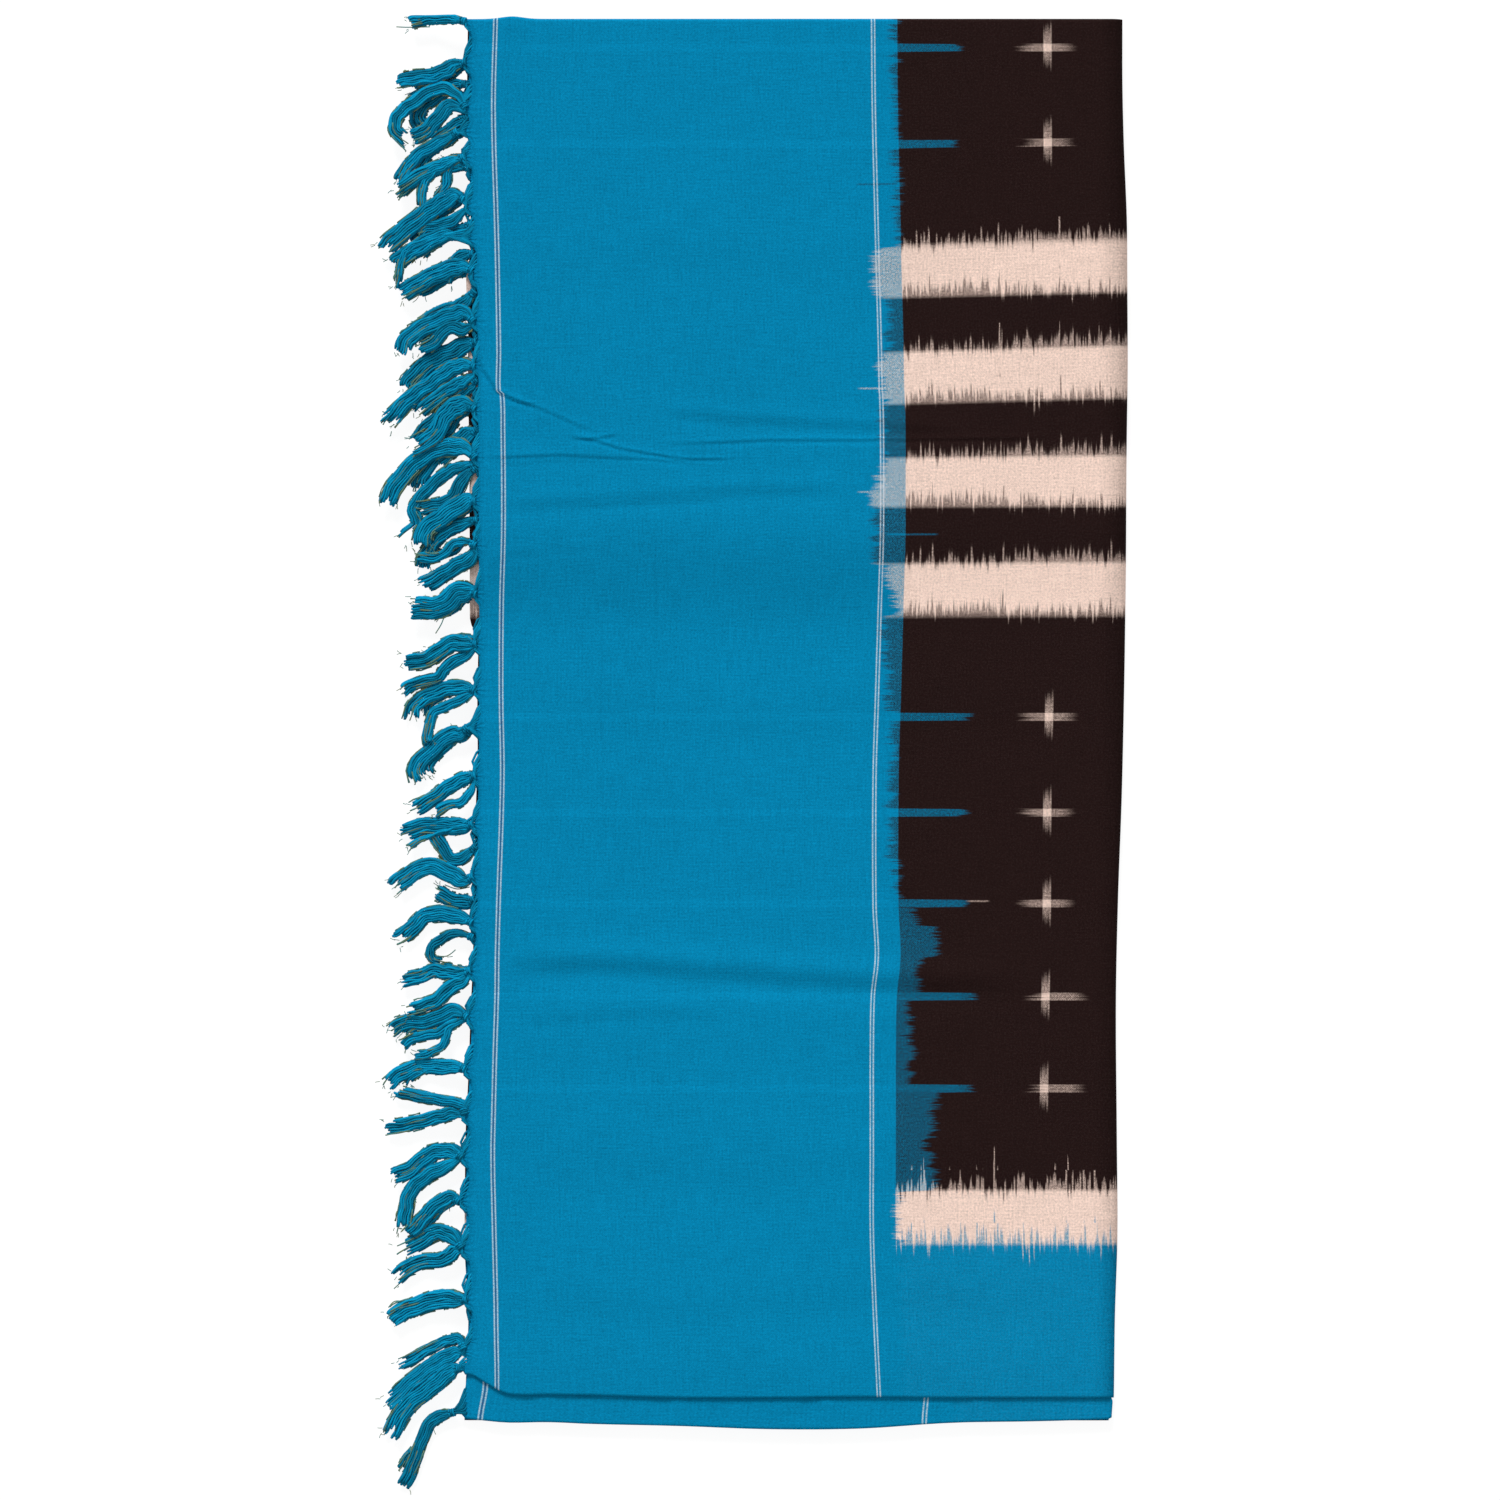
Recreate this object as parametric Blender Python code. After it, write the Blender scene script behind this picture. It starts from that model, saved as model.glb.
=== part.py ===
"""A handwoven cotton dupatta, folded and lying flat.

The cloth is 2.5 m long and 0.925 m wide, with a knotted fringe on both ends. It is folded once along
its length, which leaves 0.658 m in front and the rest behind, and then in half three times, which
makes a stack of eight panels. Here +Y points to the lengthwise fold and +X to the fold that wraps the
whole stack. Both fringed ends lie at -X. The underside is flat, at z = 0.

Places on the stack are given as across, from its left edge, and down, from the lengthwise fold."""

import collections
import math

import bmesh
import bpy

MM = 0.001

# The cloth as it came off the loom
CLOTH_LENGTH = 2.5
CLOTH_WIDTH = 0.925
PANELS = 8

# The folded stack
FOLD_LOSS = 1.5 * MM  # what one panel loses in its turns
STACK_WIDTH = CLOTH_LENGTH / PANELS - FOLD_LOSS
FRONT_DROP = 657.8 * MM  # lengthwise fold to the front layer's selvedge
FAR_DROP = 671.0 * MM  # to the selvedge of the layer behind it, which shows below
TURNED_BACK = CLOTH_WIDTH - FRONT_DROP  # what lies behind, so the stack is twice as thick down to here

# Heights
WALL = 1.0 * MM
GAP = 0.3 * MM
THICK_STACK = 12.0 * MM  # sixteen layers of cloth
THIN_STACK = 7.0 * MM  # eight layers
STEP_REACH = 26.0 * MM  # the selvedges behind end unevenly, so the step is a soft slope
CROWN = 0.6 * MM
LEFT_DROOP = 1.0 * MM
LEFT_DROOP_REACH = 14.0 * MM
HEM_DROOP = 1.0 * MM
HEM_DROOP_REACH = 18.0 * MM

# A soft hollow that runs across the front, below the middle
HOLLOW_DOWN = 454.0 * MM
HOLLOW_WIDTH = 6.0 * MM
HOLLOW_DEPTH = 1.0 * MM
HOLLOW_FROM = 18.0 * MM
HOLLOW_TO = 262.0 * MM
HOLLOW_FADE = 30.0 * MM

# The lengthwise fold's own small roll on the front layer, and the fold round the stack's right side
TOP_ROLL = 1.5 * MM
FOLD_START = 90
FOLD_END = -75
FOLD_STEPS = 5

# How the sheets are divided. Shares run over the flat width, stretches run down from the fold
FLAT_SHARES = (0, 0.012, 0.045, 0.16, 0.33, 0.5, 0.67, 0.84, 0.955, 1)
Stretch = collections.namedtuple("Stretch", "start end rows")
STRETCHES = (
    Stretch(0, 0.4, 1),
    Stretch(0.4, 1.5, 1),
    Stretch(1.5, 240, 9),
    Stretch(240, 295, 6),
    Stretch(295, 442, 6),
    Stretch(442, 466, 6),
    Stretch(466, 640, 7),
    Stretch(640, 657.8, 2),
)
ROLL_ROWS = 2  # the rows on the top roll, which only the front panel has

# The stack's left and right edges, in millimetres from a straight one and positive to the right
Side = collections.namedtuple("Side", "down left right")
SIDES = (
    Side(0, -1.4, 0.2),
    Side(30, -1.6, 0.2),
    Side(60, -1.4, 0.9),
    Side(95, -0.4, 2.3),
    Side(120, 1.0, 2.5),
    Side(165, 1.7, 2.7),
    Side(215, 2.0, 2.1),
    Side(260, 2.3, 1.9),
    Side(310, 2.8, 1.3),
    Side(370, 2.5, 0.0),
    Side(420, 1.4, -1.8),
    Side(470, 0.0, -2.8),
    Side(530, -2.4, -2.4),
    Side(580, -3.0, -2.1),
    Side(620, -1.3, -3.3),
    Side(657.8, -3.2, -3.8),
    Side(671, -3.2, -4.3),
)

# Both selvedges at the bottom, in millimetres from a straight one and positive downwards
Hem = collections.namedtuple("Hem", "across front far")
HEMS = (
    Hem(0, -11.0, -3.0),
    Hem(8, -6.5, -2.0),
    Hem(18, -1.8, -1.2),
    Hem(57, -1.2, 0.0),
    Hem(100, 0.0, 0.5),
    Hem(143, 0.0, 2.2),
    Hem(186, -0.4, 1.3),
    Hem(229, 0.0, -0.9),
    Hem(272, 0.0, -1.4),
    Hem(311, 0.0, -3.0),
)

# The hidden layers, from the bottom up, each with how far it stands in from the stack's outline, in mm
Layer = collections.namedtuple("Layer", "top hem left")
LAYERS = (
    Layer(0.6, 5.0, 0.8),
    Layer(1.4, 9.0, 2.2),
    Layer(0.4, 4.0, 0.6),
    Layer(1.6, 7.5, 1.4),
    Layer(0.8, 3.5, 0.4),
    Layer(1.2, 6.0, 1.8),
)
GROOVE = 0.9 * MM
CORE_RIM = 0.5 * MM
CORE_CORNER = 2.5 * MM
CORE_RIGHT = 2.3 * MM  # from the stack's right edge to the hidden folds

# The fringe: twisted bunches of warp, knotted close to the cloth, each spreading into locks
STRIP_WIDTH = 1.6 * MM
STRIP_END = 3.0 * MM  # the far row stops this short of the selvedge
CORNER_LIFT = 9.0 * MM  # the front row stops where the front layer's corner is pulled up
ROOT_WIDTH = 5.0 * MM
LOCK_GAP = 0.6 * MM
Station = collections.namedtuple("Station", "out width front_depth hidden_depth")
HEAD = (
    Station(3.0, 3.0, 1.4, 1.0),
    Station(5.5, 4.6, 2.8, 1.0),
    Station(8.5, 3.6, 2.0, 1.0),
)
LOCK_STATIONS = (16.0, 25.0)  # mm out from the strip, then the tip
LOCK_DEPTH = 1.2 * MM
FRONT_LOCK_DEPTH = 2.0 * MM
TIP_DEPTH = 1.0 * MM
DRAPE_REACH = 24.0 * MM  # by here a lock has come down to its level
FALL_CURVE = 1.5  # a lock leaves its knot straight and then bends down
FRINGE_STEP = (302.0 * MM, 330.0 * MM)  # below this only two rows of fringe lie on each other

# The front row, from the photograph: where each tassel leaves the cloth, and its tip, in millimetres
Tassel = collections.namedtuple("Tassel", "down reach fall")
FRONT_TASSELS = (
    Tassel(3, 31, 3),
    Tassel(21, 33, 9),
    Tassel(43, 32, 13),
    Tassel(63, 37, 17),
    Tassel(86, 45, 19),
    Tassel(106, 38, 15),
    Tassel(126, 37, 9),
    Tassel(146, 34, 13),
    Tassel(166, 35, 15),
    Tassel(187, 41, 13),
    Tassel(206, 41, 21),
    Tassel(229, 37, 19),
    Tassel(252, 29, 12),
    Tassel(275, 32, 7),
    Tassel(298, 33, 19),
    Tassel(320, 29, 16),
    Tassel(340, 28, 17),
    Tassel(362, 33, 17),
    Tassel(384, 35, 11),
    Tassel(407, 39, 8),
    Tassel(431, 38, 9),
    Tassel(454, 33, 13),
    Tassel(476, 35, 13),
    Tassel(500, 39, 8),
    Tassel(523, 38, 2),
    Tassel(543, 35, 11),
    Tassel(565, 31, 14),
    Tassel(588, 36, 10),
    Tassel(612, 38, 8),
    Tassel(631, 33, 12),
    Tassel(643, 35, 20),
)

# The rows of fringe: the place of its first tassel, each tassel's locks and their width, in mm, and how
# many rows lie on and under the row in the thick and the thin stack
Row = collections.namedtuple("Row", "name first locks lock_width over over_thin under under_thin")
FRONT_ROW = Row("fringe_front", 3, 3, 2.6, 0, 0, 3, 1)
FRONT_FOLD_ROW = Row("fringe_front_fold", 13, 2, 3.2, 1, 1, 2, 2)
FAR_FOLD_ROW = Row("fringe_far_fold", 8, 1, 5.6, 2, 2, 1, 1)
FAR_ROW = Row("fringe_far", 15, 1, 5.6, 3, 1, 0, 0)

# The hidden rows: even spacing with a little unevenness, since they were knotted by eye
FRINGE_PITCH = 22.5 * MM
PITCH_PLAY = 2.0 * MM
HIDDEN_REACH = 33.0 * MM
REACH_PLAY = 4.0 * MM
HIDDEN_FALL = 11.0 * MM
FALL_PLAY = 3.0 * MM
LAST_FAR_TASSEL = Tassel(664, 29, 36)

BLUE = (0.002, 0.211, 0.418)
DEEP_BLUE = (0.001, 0.165, 0.345)
BLACK = (0.020, 0.010, 0.009)
COTTON_ROUGHNESS = 0.88
SMOOTH_ANGLE = math.radians(40)


def fraction(value, start, end):
    """0 up to start and 1 from end on, turning softly between them."""
    share = min(max((value - start) / (end - start), 0), 1)
    return share * share * (3 - 2 * share)


def mix(first, second, share):
    return first + (second - first) * share


def read(table, field, place):
    """A table's field at this place, in metres, on a smooth curve through its rows."""
    rows = [(row[0] * MM, getattr(row, field) * MM) for row in table]
    place = min(max(place, rows[0][0]), rows[-1][0])
    after = next(k for k in range(1, len(rows)) if rows[k][0] >= place)

    def slope(k):
        low, high = rows[max(k - 1, 0)], rows[min(k + 1, len(rows) - 1)]
        return (high[1] - low[1]) / (high[0] - low[0])

    (start, first), (end, second) = rows[after - 1], rows[after]
    length = end - start
    t = (place - start) / length
    rise = second - first
    bend = slope(after - 1) * length * t * (1 - t) ** 2 - slope(after) * length * t * t * (1 - t)
    return first + rise * t * t * (3 - 2 * t) + bend


def row_places():
    """Where the sheets' rows lie, from the top of the stack down."""
    places = [STRETCHES[0].start * MM]
    for stretch in STRETCHES:
        for k in range(1, stretch.rows + 1):
            places.append(mix(stretch.start, stretch.end, k / stretch.rows) * MM)
    return places


def left_edge(down):
    """The stack's left edge, straight from one row of the sheets to the next as their solids are."""
    places = row_places() + [FAR_DROP]
    down = min(max(down, 0), FAR_DROP)
    after = next(k for k in range(1, len(places)) if places[k] >= down)
    start, end = places[after - 1], places[after]
    share = (down - start) / (end - start)
    return mix(read(SIDES, "left", start), read(SIDES, "left", end), share)


def right_edge(down):
    return STACK_WIDTH + read(SIDES, "right", down)


def stack_height(across, down):
    """Height of the top layer's upper face, away from the folds' own rounding."""
    height = mix(THICK_STACK, THIN_STACK, fraction(down, TURNED_BACK - STEP_REACH, TURNED_BACK + STEP_REACH))
    height += CROWN * math.sin(math.pi * min(max(across / STACK_WIDTH, 0), 1))
    height -= LEFT_DROOP * (1 - fraction(across, 0, LEFT_DROOP_REACH))
    height -= HEM_DROOP * fraction(down, FRONT_DROP - HEM_DROOP_REACH, FRONT_DROP + HEM_DROOP_REACH)
    along = fraction(across, HOLLOW_FROM, HOLLOW_FROM + HOLLOW_FADE)
    along -= fraction(across, HOLLOW_TO - HOLLOW_FADE, HOLLOW_TO)
    return height - HOLLOW_DEPTH * along * math.exp(-(((down - HOLLOW_DOWN) / HOLLOW_WIDTH) ** 2))


def fold_radius(down):
    """Radius of the fold that wraps the stack's right side."""
    return stack_height(STACK_WIDTH, down) / 2


def flat_across(share, down):
    """A place across the flat part of the stack, which ends where the right fold begins."""
    return mix(left_edge(down), right_edge(down) - fold_radius(down), share)


def paint(name, colour):
    material = bpy.data.materials.new(name)
    material.use_nodes = True
    shader = material.node_tree.nodes["Principled BSDF"]
    shader.inputs["Base Color"].default_value = (*colour, 1)
    shader.inputs["Roughness"].default_value = COTTON_ROUGHNESS
    shader.inputs["Metallic"].default_value = 0
    material.diffuse_color = (*colour, 1)
    return material


def add_piece(name, shape, colour, stack):
    """Makes an object of this shape, hung on the empty that carries the stack."""
    mesh = bpy.data.meshes.new(name)
    shape.to_mesh(mesh)
    shape.free()
    mesh.materials.append(paint(name + "_cotton", colour))
    mesh.shade_smooth()
    mesh.set_sharp_from_angle(angle=SMOOTH_ANGLE)
    piece = bpy.data.objects.new(name, mesh)
    bpy.context.scene.collection.objects.link(piece)
    piece.parent = stack
    return piece


def add_wall(name, points, colour, stack):
    """A sheet through rows of points on its upper face, with the cloth's thickness below them."""
    shape = bmesh.new()
    grid = [[shape.verts.new(point) for point in row] for row in points]
    for upper, lower in zip(grid, grid[1:]):
        for k in range(len(upper) - 1):
            shape.faces.new((upper[k], lower[k], lower[k + 1], upper[k + 1]))
    piece = add_piece(name, shape, colour, stack)
    wall = piece.modifiers.new("wall", "SOLIDIFY")
    wall.thickness = WALL
    wall.offset = -1
    wall.use_even_offset = True
    return piece


def front_panel(stack):
    """The near end of the cloth. It runs over the stack and down round its right side to the table."""
    lifted_rows = 3  # the selvedge's last rows, which rise with its lifted corner
    rows = []
    places = row_places()
    for down in places:
        roll = max(TOP_ROLL - down, 0)
        drop = TOP_ROLL - math.sqrt(TOP_ROLL**2 - roll**2)
        row = []
        for share in FLAT_SHARES:
            hem = read(HEMS, "front", flat_across(share, down))
            lower = down + hem * fraction(down, places[-1 - lifted_rows], places[-1])
            across = flat_across(share, lower)
            row.append((across, -lower, stack_height(across, lower) - drop))
        radius = row[-1][2] / 2
        centre = right_edge(down) - fold_radius(down)
        for k in range(1, FOLD_STEPS + 1):
            angle = math.radians(mix(FOLD_START, FOLD_END, k / FOLD_STEPS))
            across = centre + fold_radius(down) * math.cos(angle)
            row.append((across, -down, radius + radius * math.sin(angle)))
        rows.append(row)
    return add_wall("front_panel", rows, BLUE, stack)


def far_end_panel(stack):
    """The cloth's other end, the next layer down. It shows as a narrow strip below the front one."""
    below_front = 0.4 * MM
    strip_start = 2.0 * MM
    strip_rows = 2
    rows = []
    for down in row_places()[ROLL_ROWS:] + [FRONT_DROP + below_front]:
        row = []
        for share in FLAT_SHARES:
            across = flat_across(share, down)
            row.append((across, -down, stack_height(across, down) - WALL - GAP))
        rows.append(row)
    for k in range(strip_rows):
        down = mix(FRONT_DROP + strip_start, FAR_DROP, k / (strip_rows - 1))
        row = []
        for share in FLAT_SHARES:
            across = mix(left_edge(down), right_edge(down) - 2 * GAP, share)
            lower = down + read(HEMS, "far", across) * k / (strip_rows - 1)
            row.append((across, -lower, stack_height(across, lower) - WALL - GAP))
        rows.append(row)
    return add_wall("far_end_panel", rows, BLUE, stack)


def outline_steps(columns, rows):
    """Places round the edge of a grid: down its left side, along the bottom, up, and back along the top."""
    steps = [(0, row) for row in range(rows)]
    steps += [(column, rows) for column in range(columns)]
    steps += [(columns, row) for row in range(rows, 0, -1)]
    steps += [(column, 0) for column in range(columns, 0, -1)]
    return steps


def core_levels():
    """The hidden layers as levels: each layer's edge, with a groove on either side of it."""
    Level = collections.namedtuple("Level", "share top hem left")
    count = len(LAYERS)
    levels = []
    for k, layer in enumerate(LAYERS):
        edge = [value * MM for value in layer]
        under = [value * MM for value in LAYERS[max(k - 1, 0)]]
        depth = GROOVE if k else CORE_RIM
        levels.append(Level(k / count, *(max(a, b) + depth for a, b in zip(edge, under))))
        levels.append(Level((k + 0.5) / count, *edge))
    levels.append(Level(1, *(value * MM + CORE_RIM for value in LAYERS[-1])))
    return levels


def folded_core(stack):
    """The layers that nothing shows of but their edges: six panels folded between front and back."""
    downs = row_places()[ROLL_ROWS:-1] + [FAR_DROP]
    columns, rows = len(FLAT_SHARES) - 1, len(downs) - 1
    floor = WALL + GAP
    last_share = FLAT_SHARES[-2]

    def place(column, row, level):
        """A point of the core at this column and row of the grid, and at this level's height."""
        down = downs[row]
        if row == 0:
            down = level.top
        if row == rows:
            down = FAR_DROP - level.hem
        left = left_edge(down) + level.left
        half = (stack_height(STACK_WIDTH, down) - 2 * (WALL + GAP) - floor) / 2
        right = right_edge(down) - CORE_RIGHT
        right -= half * (1 - math.sqrt(1 - (2 * level.share - 1) ** 2))
        across = flat_across(FLAT_SHARES[column], down)
        if column == 0:
            across = left
        if column == columns - 1:
            across = min(across, mix(left, right, last_share))
        if column == columns:
            across = right
        if row in (0, rows) and column in (0, columns):
            across += CORE_CORNER if column == 0 else -CORE_CORNER
            down += CORE_CORNER if row == 0 else -CORE_CORNER
        top = stack_height(across, down) - 2 * (WALL + GAP)
        return (across, -down, mix(floor, top, level.share))

    shape = bmesh.new()
    steps = outline_steps(columns, rows)
    levels = core_levels()
    rings = [[shape.verts.new(place(c, r, level)) for c, r in steps] for level in levels]
    for low, high in zip(rings, rings[1:]):
        for k in range(len(steps)):
            following = (k + 1) % len(steps)
            shape.faces.new((low[k], low[following], high[following], high[k]))
    shape.faces.new(list(reversed(rings[0])))
    top = dict(zip(steps, rings[-1]))
    for column in range(1, columns):
        for row in range(1, rows):
            top[column, row] = shape.verts.new(place(column, row, levels[-1]))
    for column in range(columns):
        for row in range(rows):
            corners = ((column, row), (column, row + 1), (column + 1, row + 1), (column + 1, row))
            shape.faces.new([top[corner] for corner in corners])
    return add_piece("folded_core", shape, BLACK, stack)


def back_panel(stack):
    """The lowest panel, flat on the table. The front panel's fold comes down beside it."""
    hem = FAR_DROP - 5.0 * MM
    top = 0.8 * MM
    chamfer = 0.3 * MM
    inner_end = math.cos(math.radians(FOLD_END))
    downs = [top] + row_places()[ROLL_ROWS:-1:2] + [hem]
    columns, rows = len(FLAT_SHARES) - 1, len(downs) - 1
    shape = bmesh.new()
    rings = []
    for height, inset in ((0, chamfer), (chamfer, 0), (WALL, chamfer)):
        ring = []
        for column, row in outline_steps(columns, rows):
            down = downs[row]
            radius = fold_radius(down)
            left = left_edge(down) + 2 * GAP + inset
            right = right_edge(down) - radius + (radius - WALL) * inner_end - GAP - inset
            down += inset if row == 0 else -inset if row == rows else 0
            ring.append(shape.verts.new((mix(left, right, FLAT_SHARES[column]), -down, height)))
        rings.append(ring)
    for low, high in zip(rings, rings[1:]):
        for k in range(len(low)):
            following = (k + 1) % len(low)
            shape.faces.new((low[k], low[following], high[following], high[k]))
    shape.faces.new(list(reversed(rings[0])))
    shape.faces.new(rings[-1])
    return add_piece("back_panel", shape, BLACK, stack)


def uneven(k, salt):
    """A value from -1 to 1 that differs from one tassel to the next, and is the same each run."""
    return math.sin(2.4 * k + 1.7 * salt)


def hidden_tassels(row, length, salt):
    """The tassels of a row that lies under the front one."""
    tassels = []
    for k in range(int((length - row.first * MM) / FRINGE_PITCH)):
        down = row.first * MM + k * FRINGE_PITCH + PITCH_PLAY * uneven(k, salt)
        reach = HIDDEN_REACH + REACH_PLAY * uneven(k, salt + 1)
        fall = HIDDEN_FALL + FALL_PLAY * uneven(k, salt + 2)
        tassels.append(Tassel(down / MM, reach / MM, fall / MM))
    return tassels


def strip_top(row, down):
    """Height of a fringe row's strip, beside the layer whose end it finishes."""
    over = mix(row.over, row.over_thin, fraction(down, TURNED_BACK, TURNED_BACK + STEP_REACH))
    return stack_height(0, down) - over * (WALL + GAP)


def fringe_height(row, out, down):
    """Height of the underside of a row's strands, at this distance out from the strip."""
    under = mix(row.under, row.under_thin, fraction(down, *FRINGE_STEP))
    lying = GAP + under * (LOCK_DEPTH + GAP)
    return mix(strip_top(row, down) - WALL, lying, fraction(out, 0, DRAPE_REACH))


def add_tassel(shape, row, tassel, roots):
    """Extrudes one tassel from its root on the strip: a neck, a knot, and the locks below it.

    roots holds the strip's upper and lower points, one more pair than the tassel has locks."""
    is_front = row.over == 0
    start = tassel.down * MM
    strip_edge = left_edge(start) - GAP - STRIP_WIDTH
    reach, fall = tassel.reach * MM, tassel.fall * MM

    def pair(out, down, depth):
        low = fringe_height(row, out, down)
        across = strip_edge - out
        return shape.verts.new((across, -down, low + depth)), shape.verts.new((across, -down, low))

    ring = roots
    for station in HEAD:
        depth = (station.front_depth if is_front else station.hidden_depth) * MM
        half = station.width * MM / 2
        sides = [start + mix(-half, half, k / row.locks) for k in range(row.locks + 1)]
        following = [pair(station.out * MM, side, depth) for side in sides]
        for k in range(row.locks):
            shape.faces.new((ring[k][0], ring[k + 1][0], following[k + 1][0], following[k][0]))
            shape.faces.new((ring[k][1], following[k][1], following[k + 1][1], ring[k + 1][1]))
        shape.faces.new((ring[0][0], following[0][0], following[0][1], ring[0][1]))
        shape.faces.new((ring[-1][0], ring[-1][1], following[-1][1], following[-1][0]))
        ring = following

    knot = HEAD[-1].out * MM
    half = row.lock_width * MM / 2
    for lock in range(row.locks):
        aside = (lock - (row.locks - 1) / 2) * (2 * half + LOCK_GAP)
        section = [ring[lock], ring[lock + 1]]
        outs = [out * MM for out in LOCK_STATIONS] + [reach]
        for out in outs:
            share = (out - knot) / (reach - knot)
            depth = FRONT_LOCK_DEPTH if is_front else LOCK_DEPTH
            depth = TIP_DEPTH if out == reach else depth
            centre = start + aside + fall * share**FALL_CURVE
            following = [pair(out, edge, depth) for edge in (centre - half, centre + half)]
            (a, b), (c, d) = section
            (e, f), (g, h) = following
            for face in ((a, c, g, e), (b, f, h, d), (a, e, f, b), (c, d, h, g)):
                shape.faces.new(face)
            section = following
        shape.faces.new((section[0][0], section[1][0], section[1][1], section[0][1]))


def fringe(row, tassels, length, stack):
    """One row of fringe: a narrow strip along the cloth's end, with the tassels grown out of it."""
    half = ROOT_WIDTH / 2
    roots = {}
    for tassel in tassels:
        for k in range(row.locks + 1):
            roots[tassel.down * MM + mix(-half, half, k / row.locks)] = tassel
    stops = {0: None, length: None, **roots}
    for down in row_places():
        clear = all(abs(down - tassel.down * MM) > half + MM for tassel in tassels)
        if clear and TURNED_BACK - STEP_REACH < down < min(TURNED_BACK + STEP_REACH, length):
            stops[down] = None

    shape = bmesh.new()
    sections = []
    for down in sorted(stops):
        inner = left_edge(down) - GAP
        top = strip_top(row, down)
        outline = ((inner, top), (inner - STRIP_WIDTH, top), (inner - STRIP_WIDTH, top - WALL), (inner, top - WALL))
        points = [shape.verts.new((across, -down, height)) for across, height in outline]
        sections.append((stops[down], points))
    for (owner, first), (next_owner, second) in zip(sections, sections[1:]):
        for k in (0, 2, 3):
            after = (k + 1) % 4
            shape.faces.new((first[k], first[after], second[after], second[k]))
        if owner is None or owner is not next_owner:
            shape.faces.new((first[1], first[2], second[2], second[1]))
    for _, end in (sections[0], sections[-1]):
        shape.faces.new(end)
    for tassel in tassels:
        rooted = [(points[1], points[2]) for owner, points in sections if owner is tassel]
        add_tassel(shape, row, tassel, rooted)
    bmesh.ops.recalc_face_normals(shape, faces=shape.faces)
    return add_piece(row.name, shape, DEEP_BLUE if row.over else BLUE, stack)


def centre_on_underside(stack, pieces):
    """Moves the stack so that the middle of its bounding box's underside is the origin."""
    bpy.context.view_layer.update()
    graph = bpy.context.evaluated_depsgraph_get()
    corners = [corner for piece in pieces for corner in piece.evaluated_get(graph).bound_box]
    low = [min(corner[k] for corner in corners) for k in range(3)]
    high = [max(corner[k] for corner in corners) for k in range(3)]
    stack.location = (-(low[0] + high[0]) / 2, -(low[1] + high[1]) / 2, -low[2])


def build():
    for old in list(bpy.data.objects):
        bpy.data.objects.remove(old, do_unlink=True)
    stack = bpy.data.objects.new("dupatta", None)
    bpy.context.scene.collection.objects.link(stack)
    pieces = [front_panel(stack), far_end_panel(stack), folded_core(stack), back_panel(stack)]

    front_fold = hidden_tassels(FRONT_FOLD_ROW, TURNED_BACK, 1)
    far_fold = hidden_tassels(FAR_FOLD_ROW, TURNED_BACK, 2)
    far = hidden_tassels(FAR_ROW, FAR_DROP - FRINGE_PITCH / 2, 3) + [LAST_FAR_TASSEL]
    pieces.append(fringe(FRONT_ROW, FRONT_TASSELS, FRONT_DROP - CORNER_LIFT, stack))
    pieces.append(fringe(FRONT_FOLD_ROW, front_fold, TURNED_BACK, stack))
    pieces.append(fringe(FAR_FOLD_ROW, far_fold, TURNED_BACK, stack))
    pieces.append(fringe(FAR_ROW, far, FAR_DROP - STRIP_END, stack))
    centre_on_underside(stack, pieces)


build()
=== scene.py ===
import collections
import math
import random

import bpy
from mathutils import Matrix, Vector


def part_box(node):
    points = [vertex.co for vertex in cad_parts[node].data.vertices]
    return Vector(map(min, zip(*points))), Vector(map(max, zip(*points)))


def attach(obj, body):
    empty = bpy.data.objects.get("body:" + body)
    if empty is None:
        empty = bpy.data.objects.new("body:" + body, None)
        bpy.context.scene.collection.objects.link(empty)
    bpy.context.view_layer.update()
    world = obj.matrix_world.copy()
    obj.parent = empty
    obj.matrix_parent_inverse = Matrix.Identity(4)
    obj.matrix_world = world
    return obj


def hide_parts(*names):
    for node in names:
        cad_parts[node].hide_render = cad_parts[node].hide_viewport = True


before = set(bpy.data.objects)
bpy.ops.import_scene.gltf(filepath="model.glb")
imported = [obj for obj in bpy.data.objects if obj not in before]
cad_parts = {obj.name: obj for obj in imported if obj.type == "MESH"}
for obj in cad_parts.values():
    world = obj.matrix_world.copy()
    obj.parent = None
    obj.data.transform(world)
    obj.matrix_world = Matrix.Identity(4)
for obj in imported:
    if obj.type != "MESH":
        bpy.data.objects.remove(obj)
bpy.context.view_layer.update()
bpy.ops.object.select_all(action="DESELECT")


# Camera
# The cloth was photographed lying flat, from straight above. A long lens looks down on the middle of
# the picture, which is 0.7155 m wide at the cloth's surface.
MM = 0.001
PICTURE_WIDTH = 0.7155
LENS_MM = 200
SENSOR_MM = 36
surface_height = 9 * MM
camera_height = surface_height + PICTURE_WIDTH * LENS_MM / SENSOR_MM
bpy.ops.object.camera_add(location=(0.0005, 0.0026, camera_height), rotation=(0, 0, 0))
camera = bpy.context.object
camera.name = "photo_camera"
camera.data.lens = LENS_MM
camera.data.sensor_width = SENSOR_MM
camera.data.sensor_fit = "HORIZONTAL"
camera.data.clip_start = 0.05
camera.data.clip_end = 30
bpy.context.scene.camera = camera


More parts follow.
